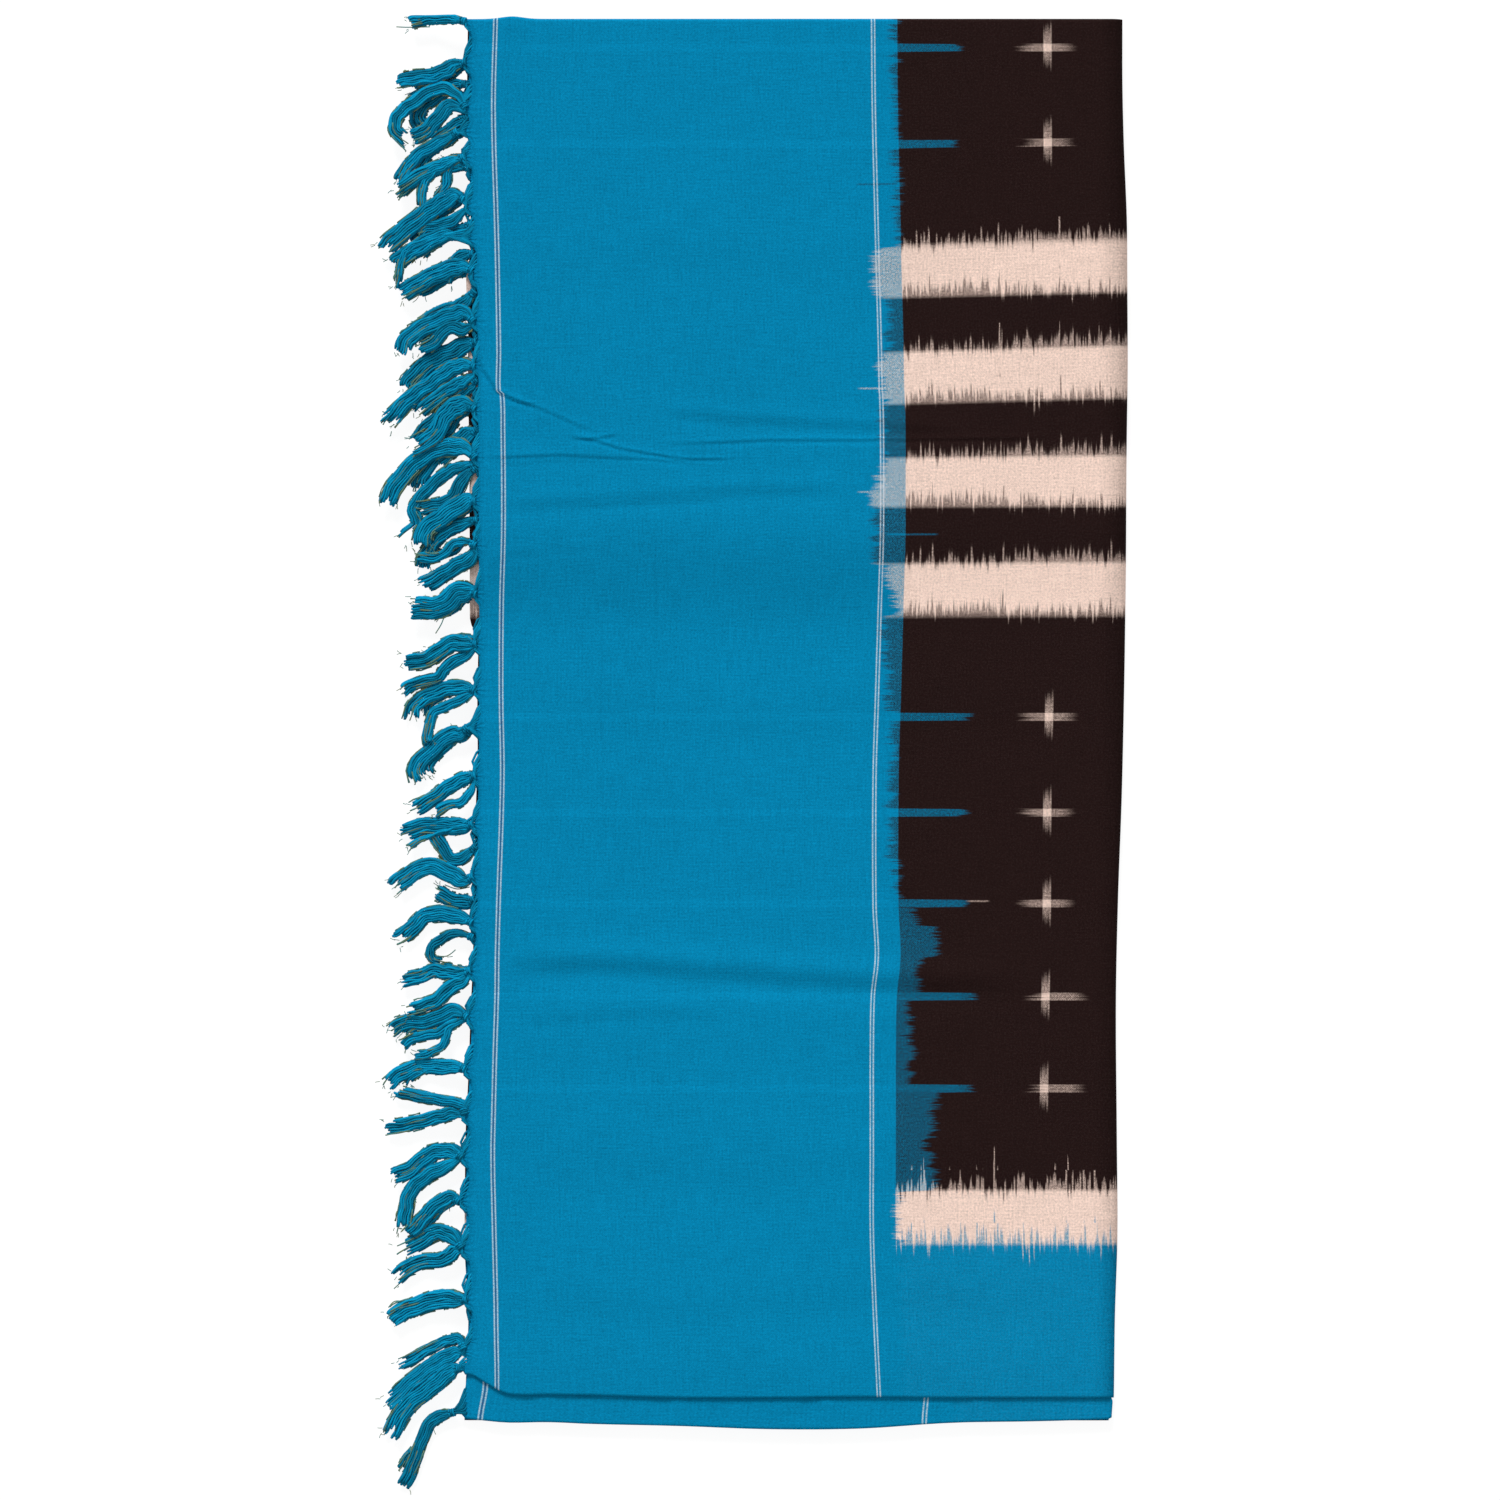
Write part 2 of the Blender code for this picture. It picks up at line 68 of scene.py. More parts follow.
# Front panel
# The near end of a handwoven cotton dupatta: a plain blue end with two pairs of cream weft lines, then
# the start of the body, black and cream with small crosses, from warp and weft tie-dyed before weaving.
# It lies on the folded stack and runs round its right side. Its left edge is the knotted end.
STACK_WIDTH = 311.0 * MM
FRONT_DROP = 657.8 * MM
TURNED_BACK = 267.2 * MM
THICK_STACK = 12.0 * MM
THIN_STACK = 7.0 * MM
STEP_REACH = 26.0 * MM
CROWN = 0.6 * MM
LEFT_DROOP = 1.0 * MM
LEFT_DROOP_REACH = 14.0 * MM
HEM_DROOP = 1.0 * MM
HEM_DROOP_REACH = 18.0 * MM
TOP_ROLL = 1.5 * MM
FOLD_START = 90
FOLD_END = -76
CLOTH = 0.55 * MM  # the cloth's thickness
LAYER_STEP = 1.3 * MM  # from one layer's upper face to the next one's


def tabulate(fields, *rows):
    """A table whose rows have these named fields."""
    row = collections.namedtuple("Row", fields)
    return [row(*values) for values in rows]


# The stack's left and right edges, in millimetres from a straight one and positive to the right
SIDES = tabulate(
    "down left right",
    (0, -1.4, 0.2), (30, -1.6, 0.2), (60, -1.4, 0.9), (95, -0.2, 2.3), (120, 1.6, 2.5), (165, 2.6, 2.7),
    (215, 2.9, 2.1), (260, 3.1, 1.9), (310, 3.3, 1.3), (370, 2.7, 0.0), (420, 1.4, -1.8),
    (470, 0.0, -2.8), (530, -2.4, -2.4), (580, -3.0, -2.1), (620, -1.3, -3.3), (657.8, -3.2, -3.8),
    (671, -3.2, -4.3),
)  # fmt: skip

# Both selvedges at the bottom, in millimetres from a straight one and positive downwards
HEMS = tabulate(
    "across front far",
    (0, -11.0, -3.0), (8, -6.5, -2.0), (18, -1.8, -1.2), (38, -1.5, -1.4), (57, -1.2, -0.6),
    (100, 0.0, 0.4), (143, 0.0, 1.9), (186, -0.4, 1.6), (229, 0.0, -1.1), (272, 0.0, -1.9),
    (311, 0.0, -3.0),
)  # fmt: skip
TOP_PUFF = 1.2 * MM  # how far the lengthwise fold bulges near its left end
PUFF_MIDDLE = 20.0 * MM
PUFF_REACH = 7.0 * MM
PUFF_DEPTH = 14.0 * MM
HEM_REACH = 40.0 * MM  # how far up the uneven selvedge moves the rows

# How far the weft lines have drifted to the right in folding, in millimetres, by the outer pair of
# cream lines, by the inner pair and by the crosses
DRIFTS = tabulate(
    "down outer inner cross",
    (0, -0.7, 0.0, 0.4), (44, -1.7, 0.4, 0.4), (106, -0.1, 1.9, 0.8), (158, 0.8, 3.3, 1.2),
    (177.4, 0.7, 3.7, 1.4), (179.0, 2.3, 3.9, 1.5), (197, 2.8, 4.3, 1.6), (244, 3.0, 4.3, 1.6),
    (280, 2.0, 3.3, 1.4), (325, 1.8, 1.9, 1.4), (362, 2.4, 0.8, 0.6), (423, 0.5, 0.8, 0.2),
    (447, -0.1, 1.9, 0.0), (466, -0.3, 0.0, -0.4), (492, -1.1, -0.5, -0.8), (521, -1.8, -0.5, -1.2),
    (542, -2.2, -0.5, -1.1), (578, -1.5, -0.5, -0.8), (614, -0.7, 0.8, 0.0), (658, -0.4, 2.9, 0.0),
)  # fmt: skip
OUTER_LINE = 12.0 * MM
INNER_LINE = 191.5 * MM
CROSS_LINE = 275.0 * MM

# How far the rows lie below their even places, in millimetres, where the body starts and at the right fold
SLIPS = tabulate(
    "down start fold",
    (0, 0.0, 0.0), (60, 0.5, -1.0), (108, 1.2, -2.2), (133, 0.4, -2.5), (159, 0.9, -2.4),
    (182, 1.7, -1.6), (210, -0.4, -1.6), (234, -1.0, -1.4), (260, 0.4, -0.3), (284, 0.0, -0.5),
    (330, 0.0, 0.0), (658, 0.0, 0.0),
)  # fmt: skip

# Creases: along each path of (across, down) the cloth drops by twice this depth within about twice this
# width, to the right as one goes along it. All are in millimetres
CREASES = tabulate(
    "width depth path",
    (5.5, 0.9, ((8, 452), (60, 451), (81, 452), (148, 457), (196, 460), (272, 462))),
    (3.0, 0.2, ((19, 478), (91, 474), (124, 477))),
    (0.75, 0.36, ((2, 160), (6, 167), (13, 178), (22, 182), (29, 184), (43, 190), (56, 196), (60, 199))),
    (0.9, 0.34, ((0, 155), (6, 167), (13, 178), (22, 182), (33, 186))),
    (0.9, 0.25, ((48, 199.5), (54, 200.5), (62, 200), (71, 198))),
    (0.8, 0.34, ((46, 199), (57, 200.5), (72, 205), (83, 207), (102, 210), (128, 210))),
    (0.9, 0.18, ((5, 209), (18, 209), (42, 208), (60, 209), (84, 210), (116, 213))),
    (3.0, 0.25, ((7, 211), (45, 209), (84, 210))),
    (3.6, 0.36, ((9, 233), (60, 230), (129, 225), (184, 225))),
    (1.2, 0.12, ((50, 233), (84, 231), (122, 229))),
    (1.0, 0.26, ((88, 203), (120, 202), (142, 201), (200, 201), (285, 200))),
    (3.2, 0.34, ((86, 187), (126, 191), (180, 194), (238, 197))),
    (1.3, 0.2, ((5, 263), (17, 256), (40, 253), (64, 252))),
    (0.7, 0.22, ((63.5, 402), (62.5, 320), (63.5, 276))),
    (0.7, 0.2, ((87, 344), (88.5, 290), (88, 233))),
    (0.7, 0.14, ((86, 196), (86.5, 160), (86, 128))),
    (0.7, 0.16, ((75.5, 503), (76, 474))),
    (0.8, 0.16, ((142.5, 481), (143, 464))),
    (12.0, 0.3, ((20, 330), (130, 337), (230, 329), (300, 335))),
    (13.0, 0.35, ((15, 545), (120, 552), (210, 543), (300, 550))),
    (9.0, 0.25, ((20, 610), (100, 617), (190, 608), (290, 614))),
    (11.0, 0.25, ((20, 118), (110, 112), (180, 120), (260, 113))),
)
CREASE_REACH = 3.5  # a crease is felt within this many times its width

# Where the sheet's rows and columns lie, in stretches of (start, end, steps), in millimetres
FRONT_ROWS = (
    (0, 1.5, 4), (1.5, 162, 66), (162, 213, 100), (213, 236, 16), (236, 442, 82), (442, 466, 20),
    (466, 640, 68), (640, 657.8, 14),
)  # fmt: skip
FRONT_COLUMNS = (
    (0, 12, 11), (12, 59, 24), (59, 67, 9), (67, 84, 7), (84, 92, 9), (92, 306, 52),
)  # fmt: skip
WRAP_STEPS = 14

# Where each tassel of the front row is knotted, in millimetres down from the fold
FRONT_KNOTS = (
    1, 21, 43, 54, 66, 90, 105, 123, 144, 165, 187, 209, 230, 251, 274, 298,
    320, 338, 361, 384, 408, 431, 454, 476, 501, 523, 543, 564, 587, 611, 636, 644,
)  # fmt: skip
SCALLOP_PEAK = 1.3  # these four are millimetres too: how a knot draws the cloth's edge out beside it
SCALLOP_HALF = 2.2
SCALLOP_HOLLOW = 2.2
HOLLOW_REACH = (1.5, 8)
SCALLOP_REACH = 6.0 * MM


def fraction(value, start, end):
    """0 up to start and 1 from end on, turning softly between them."""
    share = min(max((value - start) / (end - start), 0), 1)
    return share * share * (3 - 2 * share)


def mix(first, second, share):
    return first + (second - first) * share


def read(table, field, place):
    """A table's field at this place, in metres, on a smooth curve through its rows."""
    place = min(max(place / MM, table[0][0]), table[-1][0])
    after = next(k for k in range(1, len(table)) if table[k][0] >= place)

    def value(k):
        return getattr(table[k], field)

    def slope(k):
        low, high = max(k - 1, 0), min(k + 1, len(table) - 1)
        return (value(high) - value(low)) / (table[high][0] - table[low][0])

    length = table[after][0] - table[after - 1][0]
    t = (place - table[after - 1][0]) / length
    bend = slope(after - 1) * length * t * (1 - t) ** 2 - slope(after) * length * t * t * (1 - t)
    return mix(value(after - 1), value(after), t * t * (3 - 2 * t)) * MM + bend * MM


def places(stretches):
    """The places that a table of stretches gives, in metres."""
    found = [stretches[0][0] * MM]
    for start, end, steps in stretches:
        found += [mix(start, end, k / steps) * MM for k in range(1, steps + 1)]
    return found


def left_edge(down):
    return read(SIDES, "left", down)


def right_edge(down):
    return STACK_WIDTH + read(SIDES, "right", down)


def stack_height(across, down):
    """Height of the top layer's upper face before its creases."""
    past_step = fraction(down, TURNED_BACK - STEP_REACH, TURNED_BACK + STEP_REACH)
    height = mix(THICK_STACK, THIN_STACK, past_step)
    height += CROWN * math.sin(math.pi * min(max(across / STACK_WIDTH, 0), 1))
    height -= LEFT_DROOP * (1 - fraction(across, 0, LEFT_DROOP_REACH))
    return height - HEM_DROOP * fraction(down, FRONT_DROP - HEM_DROOP_REACH, FRONT_DROP + HEM_DROOP_REACH)


def fold_radius(down):
    return stack_height(STACK_WIDTH, down) / 2


def crease_depth(creases, across, down):
    """How far the creases push the cloth down here: a drop, from a ridge on a path's left to a trough."""
    spot = Vector((across / MM, down / MM))
    depth = 0
    for crease in creases:
        stops = [Vector(stop) for stop in crease.path]
        found = []
        run = 0
        for start, end in zip(stops, stops[1:]):
            length = (end - start).length
            along = (end - start) / length
            t = min(max((spot - start).dot(along), 0), length)
            off = spot - start - along * t
            side = 1 if along.x * off.y - along.y * off.x > 0 else -1
            found.append((off.length, side, run + t))
            run += length
        distance, side, place = min(found, key=lambda way: way[0])
        if distance < CREASE_REACH * crease.width:
            fade = fraction(place / run, 0, 0.15) * (1 - fraction(place / run, 0.85, 1))
            signed = side * distance / crease.width
            depth += crease.depth * fade * signed * math.exp(0.5 - signed * signed / 2)
    return depth * MM


origin = Vector((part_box("front_panel")[0].x + 3.2 * MM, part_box("front_panel")[1].y, 0))


def lay_sheet(name, rows, columns, point, mark):
    """Lays a grid over the stack: point gives a grid place's spot, and mark its place on the flat cloth."""
    bpy.ops.mesh.primitive_grid_add(
        x_subdivisions=columns - 1, y_subdivisions=rows - 1, size=1, calc_uvs=True, location=(0, 0, 0)
    )
    sheet = bpy.context.object
    sheet.name = name
    mesh = sheet.data
    grid = [
        (round((vertex.co.x + 0.5) * (columns - 1)), round((0.5 - vertex.co.y) * (rows - 1)))
        for vertex in mesh.vertices
    ]
    for vertex, spot in zip(mesh.vertices, grid):
        across, down, height = point(*spot)
        vertex.co = origin + Vector((across, -down, height))
    marks = [mark(*spot) for spot in grid]
    cloth_map = mesh.uv_layers[0]
    cloth_map.name = "cloth"
    for loop, uv in zip(mesh.loops, cloth_map.data):
        uv.uv = marks[loop.vertex_index]
    return sheet, grid


def give_thickness(sheet):
    wall = sheet.modifiers.new("cloth", "SOLIDIFY")
    wall.thickness = CLOTH
    wall.offset = -1
    bpy.context.view_layer.objects.active = sheet
    bpy.ops.object.modifier_apply(modifier=wall.name)
    sheet.data.shade_smooth()


row_places = places(FRONT_ROWS)
column_places = places(FRONT_COLUMNS)
flat_columns = len(column_places)


def scallop(down):
    """How far the left edge is drawn out by its nearest knot, which gathers the warp beside it."""
    near = min(abs(down / MM - knot) for knot in FRONT_KNOTS)
    peak = SCALLOP_PEAK * math.exp(-((near / SCALLOP_HALF) ** 2))
    return (peak - SCALLOP_HOLLOW * fraction(near, *HOLLOW_REACH)) * MM


def hem_drop(across, down):
    """How far the rows near the bottom follow the front's uneven selvedge."""
    return read(HEMS, "front", across) * fraction(down, FRONT_DROP - HEM_REACH, FRONT_DROP)


def front_point(column, row):
    down = row_places[row]
    roll = max(TOP_ROLL - down, 0)
    drop = TOP_ROLL - math.sqrt(TOP_ROLL**2 - roll**2)
    radius = fold_radius(down)
    flat_end = right_edge(down) - radius
    if column < flat_columns:
        share = column_places[column] / column_places[-1]
        across = mix(left_edge(down), flat_end, share)
        puff = TOP_PUFF * math.exp(-(((across - PUFF_MIDDLE) / PUFF_REACH) ** 2))
        lower = down + hem_drop(across, down) - puff * (1 - fraction(down, 0, PUFF_DEPTH))
        across = mix(left_edge(lower), flat_end, share)
        across -= scallop(lower) * (1 - fraction(across, 0, SCALLOP_REACH))
        height = stack_height(across, lower) - drop - crease_depth(CREASES, across, lower)
        return across, lower, height
    angle = math.radians(mix(FOLD_START, FOLD_END, (column - flat_columns + 1) / WRAP_STEPS))
    middle = (stack_height(flat_end, down) - drop) / 2
    return flat_end + radius * math.cos(angle), down, middle + middle * math.sin(angle)


def front_mark(column, row):
    down = row_places[row]
    radius = fold_radius(down)
    flat_end = right_edge(down) - radius
    share = column_places[min(column, flat_columns - 1)] / column_places[-1]
    across = mix(left_edge(down), flat_end, share)
    turned = max(column - flat_columns + 1, 0) / WRAP_STEPS
    arc = radius * math.radians((FOLD_START - FOLD_END) * turned)
    inner = read(DRIFTS, "inner", down)
    if across < INNER_LINE:
        drift = mix(read(DRIFTS, "outer", down), inner, (across - OUTER_LINE) / (INNER_LINE - OUTER_LINE))
    else:
        drift = mix(inner, read(DRIFTS, "cross", down), fraction(across, INNER_LINE, CROSS_LINE - 6 * MM))
    share = min(max((across - INNER_LINE) / (STACK_WIDTH - INNER_LINE), 0), 1)
    slip = mix(read(SLIPS, "start", down), read(SLIPS, "fold", down), share)
    lower = down + hem_drop(across, down) - slip * fraction(across, 0.6 * INNER_LINE, INNER_LINE)
    return across + arc - drift, lower


front, front_grid = lay_sheet(
    "front_panel_cloth", len(row_places), flat_columns + WRAP_STEPS, front_point, front_mark
)
knot_pull = front.data.attributes.new("knot_pull", "FLOAT_VECTOR", "POINT")
for k, (column, row) in enumerate(front_grid):
    down = row_places[row] / MM
    knot, next_knot = sorted(FRONT_KNOTS, key=lambda place: abs(place - down))[:2]
    inward = column_places[min(column, flat_columns - 1)] / MM
    strength = fraction(abs(next_knot - down) - abs(knot - down), 2, 7)
    knot_pull.data[k].vector = (inward, down - knot, strength)
give_thickness(front)

# Its finish, which the whole cloth has: every warp end and every pick is dyed along its own length, and
# the colour that shows at each crossing is a mixture of the two
BLUE = (0.0012, 0.2159, 0.4179, 1)
BLACK = (0.0165, 0.0074, 0.0070, 1)
CREAM = (0.8550, 0.6450, 0.5520, 1)
LINE_WHITE = (0.4600, 0.6000, 0.7000, 1)
LINE_DARK = (0.0600, 0.0500, 0.1500, 1)  # the pick between the outer pair of lines
LINT = (0.3000, 0.2600, 0.2400, 1)
MIDDLE = 196.2  # from the lengthwise fold to the middle of the cloth's width, in millimetres
WARP_PITCH = 0.55
WEFT_PITCH = 0.55
PICK_BUNCH = 0.75  # picks that took the dye alike
FIRST_TIE = 95.4  # the weft's ties, down the panel
TIE_PITCH = 25.2
BLEND_GAMMA = 1.5  # two dyes blend in the weave partly as light and partly as the eye sees them
CROSS_PITCH = 54.0
FIRST_CROSS = 274.8
CROSS_ARM = 1.85  # half the thickness of an arm
END_OF_BLUE_WEFT = 203.5
BLUE_DASH_END = 231.0
LINE_PICKS = (12.0, 13.6, 191.3, 192.75)
DARK_PICK = 12.8
LINE_HALF = 0.34
CROSSES_BEGIN = (248, 251)  # these two lie along the warp
RIGHT_FOLD_PAINTED_SHADE = (297, 311)
ARMS_SLIP = (440, 470)  # and these down the panel: the crosses below here have slipped to the right
LOOSER_TIES = (480, 500)

# Single threads that took another dye: from start to end along the warp, this far down the panel
STRAY_THREADS = tabulate(
    "start end over dye",
    (183.5, 202.5, 78.2, BLACK), (182.0, 220.0, 174.6, CREAM), (181.0, 195.5, 226.6, CREAM),
    (195.0, 219.0, 246.3, BLUE), (237.0, 246.5, 420.7, CREAM),
)  # fmt: skip

# The cloth's rows, from its middle out to either side: the row's inner edge and its dye
ROWS = tabulate(
    "start dye",
    (0.0, BLACK), (13.9, CREAM), (37.4, BLACK), (63.6, CREAM), (88.2, BLACK), (363.0, CREAM),
    (388.3, BLUE),
)  # fmt: skip
LAST_ROW_END = 470.0
CROSS_ROWS = (136.6, 182.3, 225.6, 270.0, 313.9)

# The warp was tied in blocks. Each of them begins this far down the panel, and its blue end stops this far
# from the knotted edge, in millimetres
BLUE_ENDS = (
    (0, 202.0), (108.0, 191.5), (132.6, 196.5), (158.8, 192.0), (175.0, 194.5), (182.3, 192.5),
    (210.1, 192.0), (218.0, 190.5), (226.5, 187.6), (233.6, 189.0), (259.8, 195.5), (272.5, 200.5),
    (284.4, 194.5), (302.0, 197.0), (330.0, 200.0), (400.0, 203.0), (424.0, 211.5), (432.6, 221.5),
    (447.4, 212.0), (466.0, 209.5), (490.0, 211.0), (511.5, 221.5), (534.0, 217.5), (540.0, 221.5),
    (559.2, 205.3),
)  # fmt: skip


class Number:
    """A number, colour or vector in a node tree. A sum with it adds the nodes that work it out."""

    def __init__(self, socket):
        self.socket = socket

    def __add__(self, other):
        return calc("ADD", self, other)

    def __sub__(self, other):
        return calc("SUBTRACT", self, other)

    def __rsub__(self, other):
        return calc("SUBTRACT", other, self)

    def __mul__(self, other):
        return calc("MULTIPLY", self, other)

    def __truediv__(self, other):
        return calc("DIVIDE", self, other)

    def __abs__(self):
        return calc("ABSOLUTE", self)

    __radd__ = __add__
    __rmul__ = __mul__


def add_node(kind, sockets=None, tree=None, output=0, **settings):
    """Adds a node with its sockets linked or filled in, to their own tree or the one given."""
    sockets = sockets or {}
    tree = tree or next(value.socket.id_data for value in sockets.values() if isinstance(value, Number))
    node = tree.nodes.new("ShaderNode" + kind)
    for name, value in settings.items():
        setattr(node, name, value)
    for name, value in sockets.items():
        if isinstance(value, Number):
            tree.links.new(value.socket, node.inputs[name])
        else:
            node.inputs[name].default_value = value
    return Number(node.outputs[output])


def calc(operation, *values):
    """One sum in the node tree."""
    return add_node("Math", dict(enumerate(values)), operation=operation)


def split(vector):
    """A vector's x, y and z."""
    return [Number(socket) for socket in add_node("SeparateXYZ", {0: vector}).socket.node.outputs]


def noise(place, scale, detail):
    return add_node("TexNoise", {"Vector": place, "Scale": scale, "Detail": detail})


def soft_step(value, start, end):
    """0 below start and 1 above end, turning softly."""
    sockets = {"Value": value, "From Min": start, "From Max": end}
    return add_node("MapRange", sockets, interpolation_type="SMOOTHSTEP")


def blend(share, first, second):
    """Mixes two numbers."""
    return add_node("Mix", {0: share, 2: first, 3: second}, data_type="FLOAT")


def dye(share, first, second, **settings):
    """Mixes two colours."""
    return add_node("Mix", {0: share, 6: first, 7: second}, output=2, data_type="RGBA", **settings)


def link(value, shader, name):
    value.socket.id_data.links.new(value.socket, shader.inputs[name])


def new_finish(name):
    """A new material, its node tree and its shader."""
    material = bpy.data.materials.new(name)
    material.use_nodes = True
    return material, material.node_tree, material.node_tree.nodes["Principled BSDF"]


def luck(value, pitch, salt):
    """A value from -1 to 1 for each thread, or bunch of threads, of this pitch."""
    thread = calc("FLOOR", value / pitch)
    return add_node("TexWhiteNoise", {"W": thread + salt}, noise_dimensions="1D") * 2 - 1


def stepped(value, steps, blur):
    """The number of the last of these steps that value has passed. A step turns over twice the blur."""
    number = steps[0][1]
    for place, after in steps[1:]:
        number = blend(soft_step(value, place - blur, place + blur), number, after)
    return number


def row_dyes(value, blur):
    """The rows' dyes, by the distance from the cloth's middle. Two of them meet over twice the blur."""
    dyes = add_node("ValToRGB", {"Fac": value / LAST_ROW_END})
    stops = [(0, ROWS[0].dye)]
    for before, row in zip(ROWS, ROWS[1:]):
        stops += [(row.start - blur, before.dye), (row.start + blur, row.dye)]
    elements = dyes.socket.node.color_ramp.elements
    for k, (place, colour) in enumerate(stops):
        element = elements[k] if k < 2 else elements.new(place / LAST_ROW_END)
        element.position = place / LAST_ROW_END
        element.color = colour
    return dyes


def to_cross_row(value):
    """The distance to the nearest row of crosses."""
    near = abs(value - CROSS_ROWS[0])
    for row in CROSS_ROWS[1:]:
        near = calc("MINIMUM", near, abs(value - row))
    return near


def to_column(value):
    """The distance from the nearest column of crosses, negative before it."""
    return calc("WRAP", value, CROSS_PITCH / 2, -CROSS_PITCH / 2)


def within(value, middle, half, blur):
    """1 where value is no further than half from the middle."""
    return soft_step(half - abs(value - middle), -blur, blur)


def weave_cotton(name, gathered):
    """The handwoven double ikat, read from the cloth's own map. gathered adds the knots' pull and painted
    edge shade.
    """
    material, tree, shader = new_finish(name)
    cloth_place = add_node("UVMap", tree=tree, uv_map="cloth")
    in_mm = add_node("VectorMath", {0: cloth_place, 3: 1 / MM}, operation="SCALE")
    along, over, _ = split(in_mm)  # along the warp, and across the cloth's width

    # How far each thread's dye strayed under its ties, which differs a little from one tie to the next
    warp_luck = luck(over, WARP_PITCH, 3.5)
    warp_bunch = luck(over, 2.6, 11.5)
    warp_stray = warp_luck * 2.2 + warp_bunch * 1.6
    tie_number = calc("FLOOR", (over - FIRST_TIE) / TIE_PITCH)
    in_tie = along + tie_number * 1000
    weft_luck = luck(along, PICK_BUNCH, 7.5)
    weft_own_luck = luck(in_tie, PICK_BUNCH, 57.5)
    weft_bunch = luck(in_tie, 3.1, 17.5)
    weft_drift = add_node("TexNoise", {"W": along / 9}, noise_dimensions="1D")
    weft_rare = calc("POWER", abs(weft_luck), 12)
    weft_stray = weft_luck * 2.0 + weft_own_luck * 2.5 + weft_bunch * 0.9
    weft_stray += (weft_drift - 0.5) * 7 + weft_rare * weft_own_luck * 6
    weft_stray *= soft_step(over, *LOOSER_TIES) * 0.5 + 1

    # The warp: rows of dye, cream arms along the crosses, and the blue end
    from_middle = abs(over - MIDDLE)
    uneven_yarn = noise(in_mm, 1.3, 2)
    warp_colour = dye(soft_step(uneven_yarn, 0.45, 0.75) * 0.11, row_dyes(from_middle, 0.25), LINT)
    in_cross_row = soft_step(to_cross_row(from_middle), CROSS_ARM + 0.2, CROSS_ARM - 0.2)
    slip = soft_step(over, *ARMS_SLIP) * 6.5
    arm_place = to_column(along - FIRST_CROSS - slip) + warp_luck * 1.2
    arm = soft_step(warp_luck * 2.6 + 13.0 - abs(arm_place), -1.0, 8.5)
    in_body = soft_step(along, *CROSSES_BEGIN)
    warp_colour = dye(arm * in_cross_row * in_body * (warp_luck * 0.12 + 0.84), warp_colour, CREAM)
    dash_end = soft_step(over, 250, 330) * 5 + soft_step(over, 440, 460) * 4.5 + BLUE_DASH_END
    blue_end = blend(in_cross_row, stepped(over, BLUE_ENDS, 0.5), dash_end)
    warp_colour = dye(soft_step(along - (blue_end + warp_stray), 1.8, -2.2), warp_colour, BLUE)
    for thread in STRAY_THREADS:
        middle, half = (thread.start + thread.end) / 2, (thread.end - thread.start) / 2
        shown = within(over, thread.over, 0.4, 0.15) * within(along, middle, half, 1.5)
        warp_colour = dye(shown * 0.8, warp_colour, thread.dye)

    # The weft: the same rows a little higher, with every pick on its own, and the crosses' upright arms.
    # Its cream rows are narrower near the blue end
    near_fold = soft_step(along, 248, 264)
    shift = blend(calc("MODULO", tie_number, 2), near_fold * 2.0 + 1.4, near_fold * -2.0 + 3.8)
    weft_colour = row_dyes(abs(over + shift + weft_stray - MIDDLE), 1.3)
    upright_end = weft_luck * 2.4 + 10.6 - to_cross_row(abs(over + 0.9 - MIDDLE))
    upright = soft_step(upright_end, -1.0, 7.5) * within(to_column(along - FIRST_CROSS), 0, 1.95, 0.25)
    weft_colour = dye(upright * in_body * (weft_own_luck * 0.10 + 0.88), weft_colour, CREAM)
    blue_weft = soft_step(along, END_OF_BLUE_WEFT + 0.25, END_OF_BLUE_WEFT - 0.25)
    weft_colour = dye(blue_weft, weft_colour, BLUE)
    weft_colour = dye(within(along, DARK_PICK, LINE_HALF, 0.15), weft_colour, LINE_DARK)
    lines = sum(within(along, pick, LINE_HALF, 0.18) for pick in LINE_PICKS)
    weft_colour = dye(lines, weft_colour, LINE_WHITE)

    # The plain weave: which thread is on top at each crossing, and each thread's own thickness
    crossing = calc("SINE", over * (math.pi / WARP_PITCH)) * calc("SINE", along * (math.pi / WEFT_PITCH))
    dash = in_cross_row * within(along, 219, 16, 3)
    weft_share = crossing * 0.2 + (uneven_yarn - 0.5) * 1.3 + lines * 0.28 - dash * 0.1 + 0.53
    warp_tone = add_node("Gamma", {"Color": warp_colour, "Gamma": 1 / BLEND_GAMMA})
    weft_tone = add_node("Gamma", {"Color": weft_colour, "Gamma": 1 / BLEND_GAMMA})
    colour = add_node("Gamma", {"Color": dye(weft_share, warp_tone, weft_tone), "Gamma": BLEND_GAMMA})
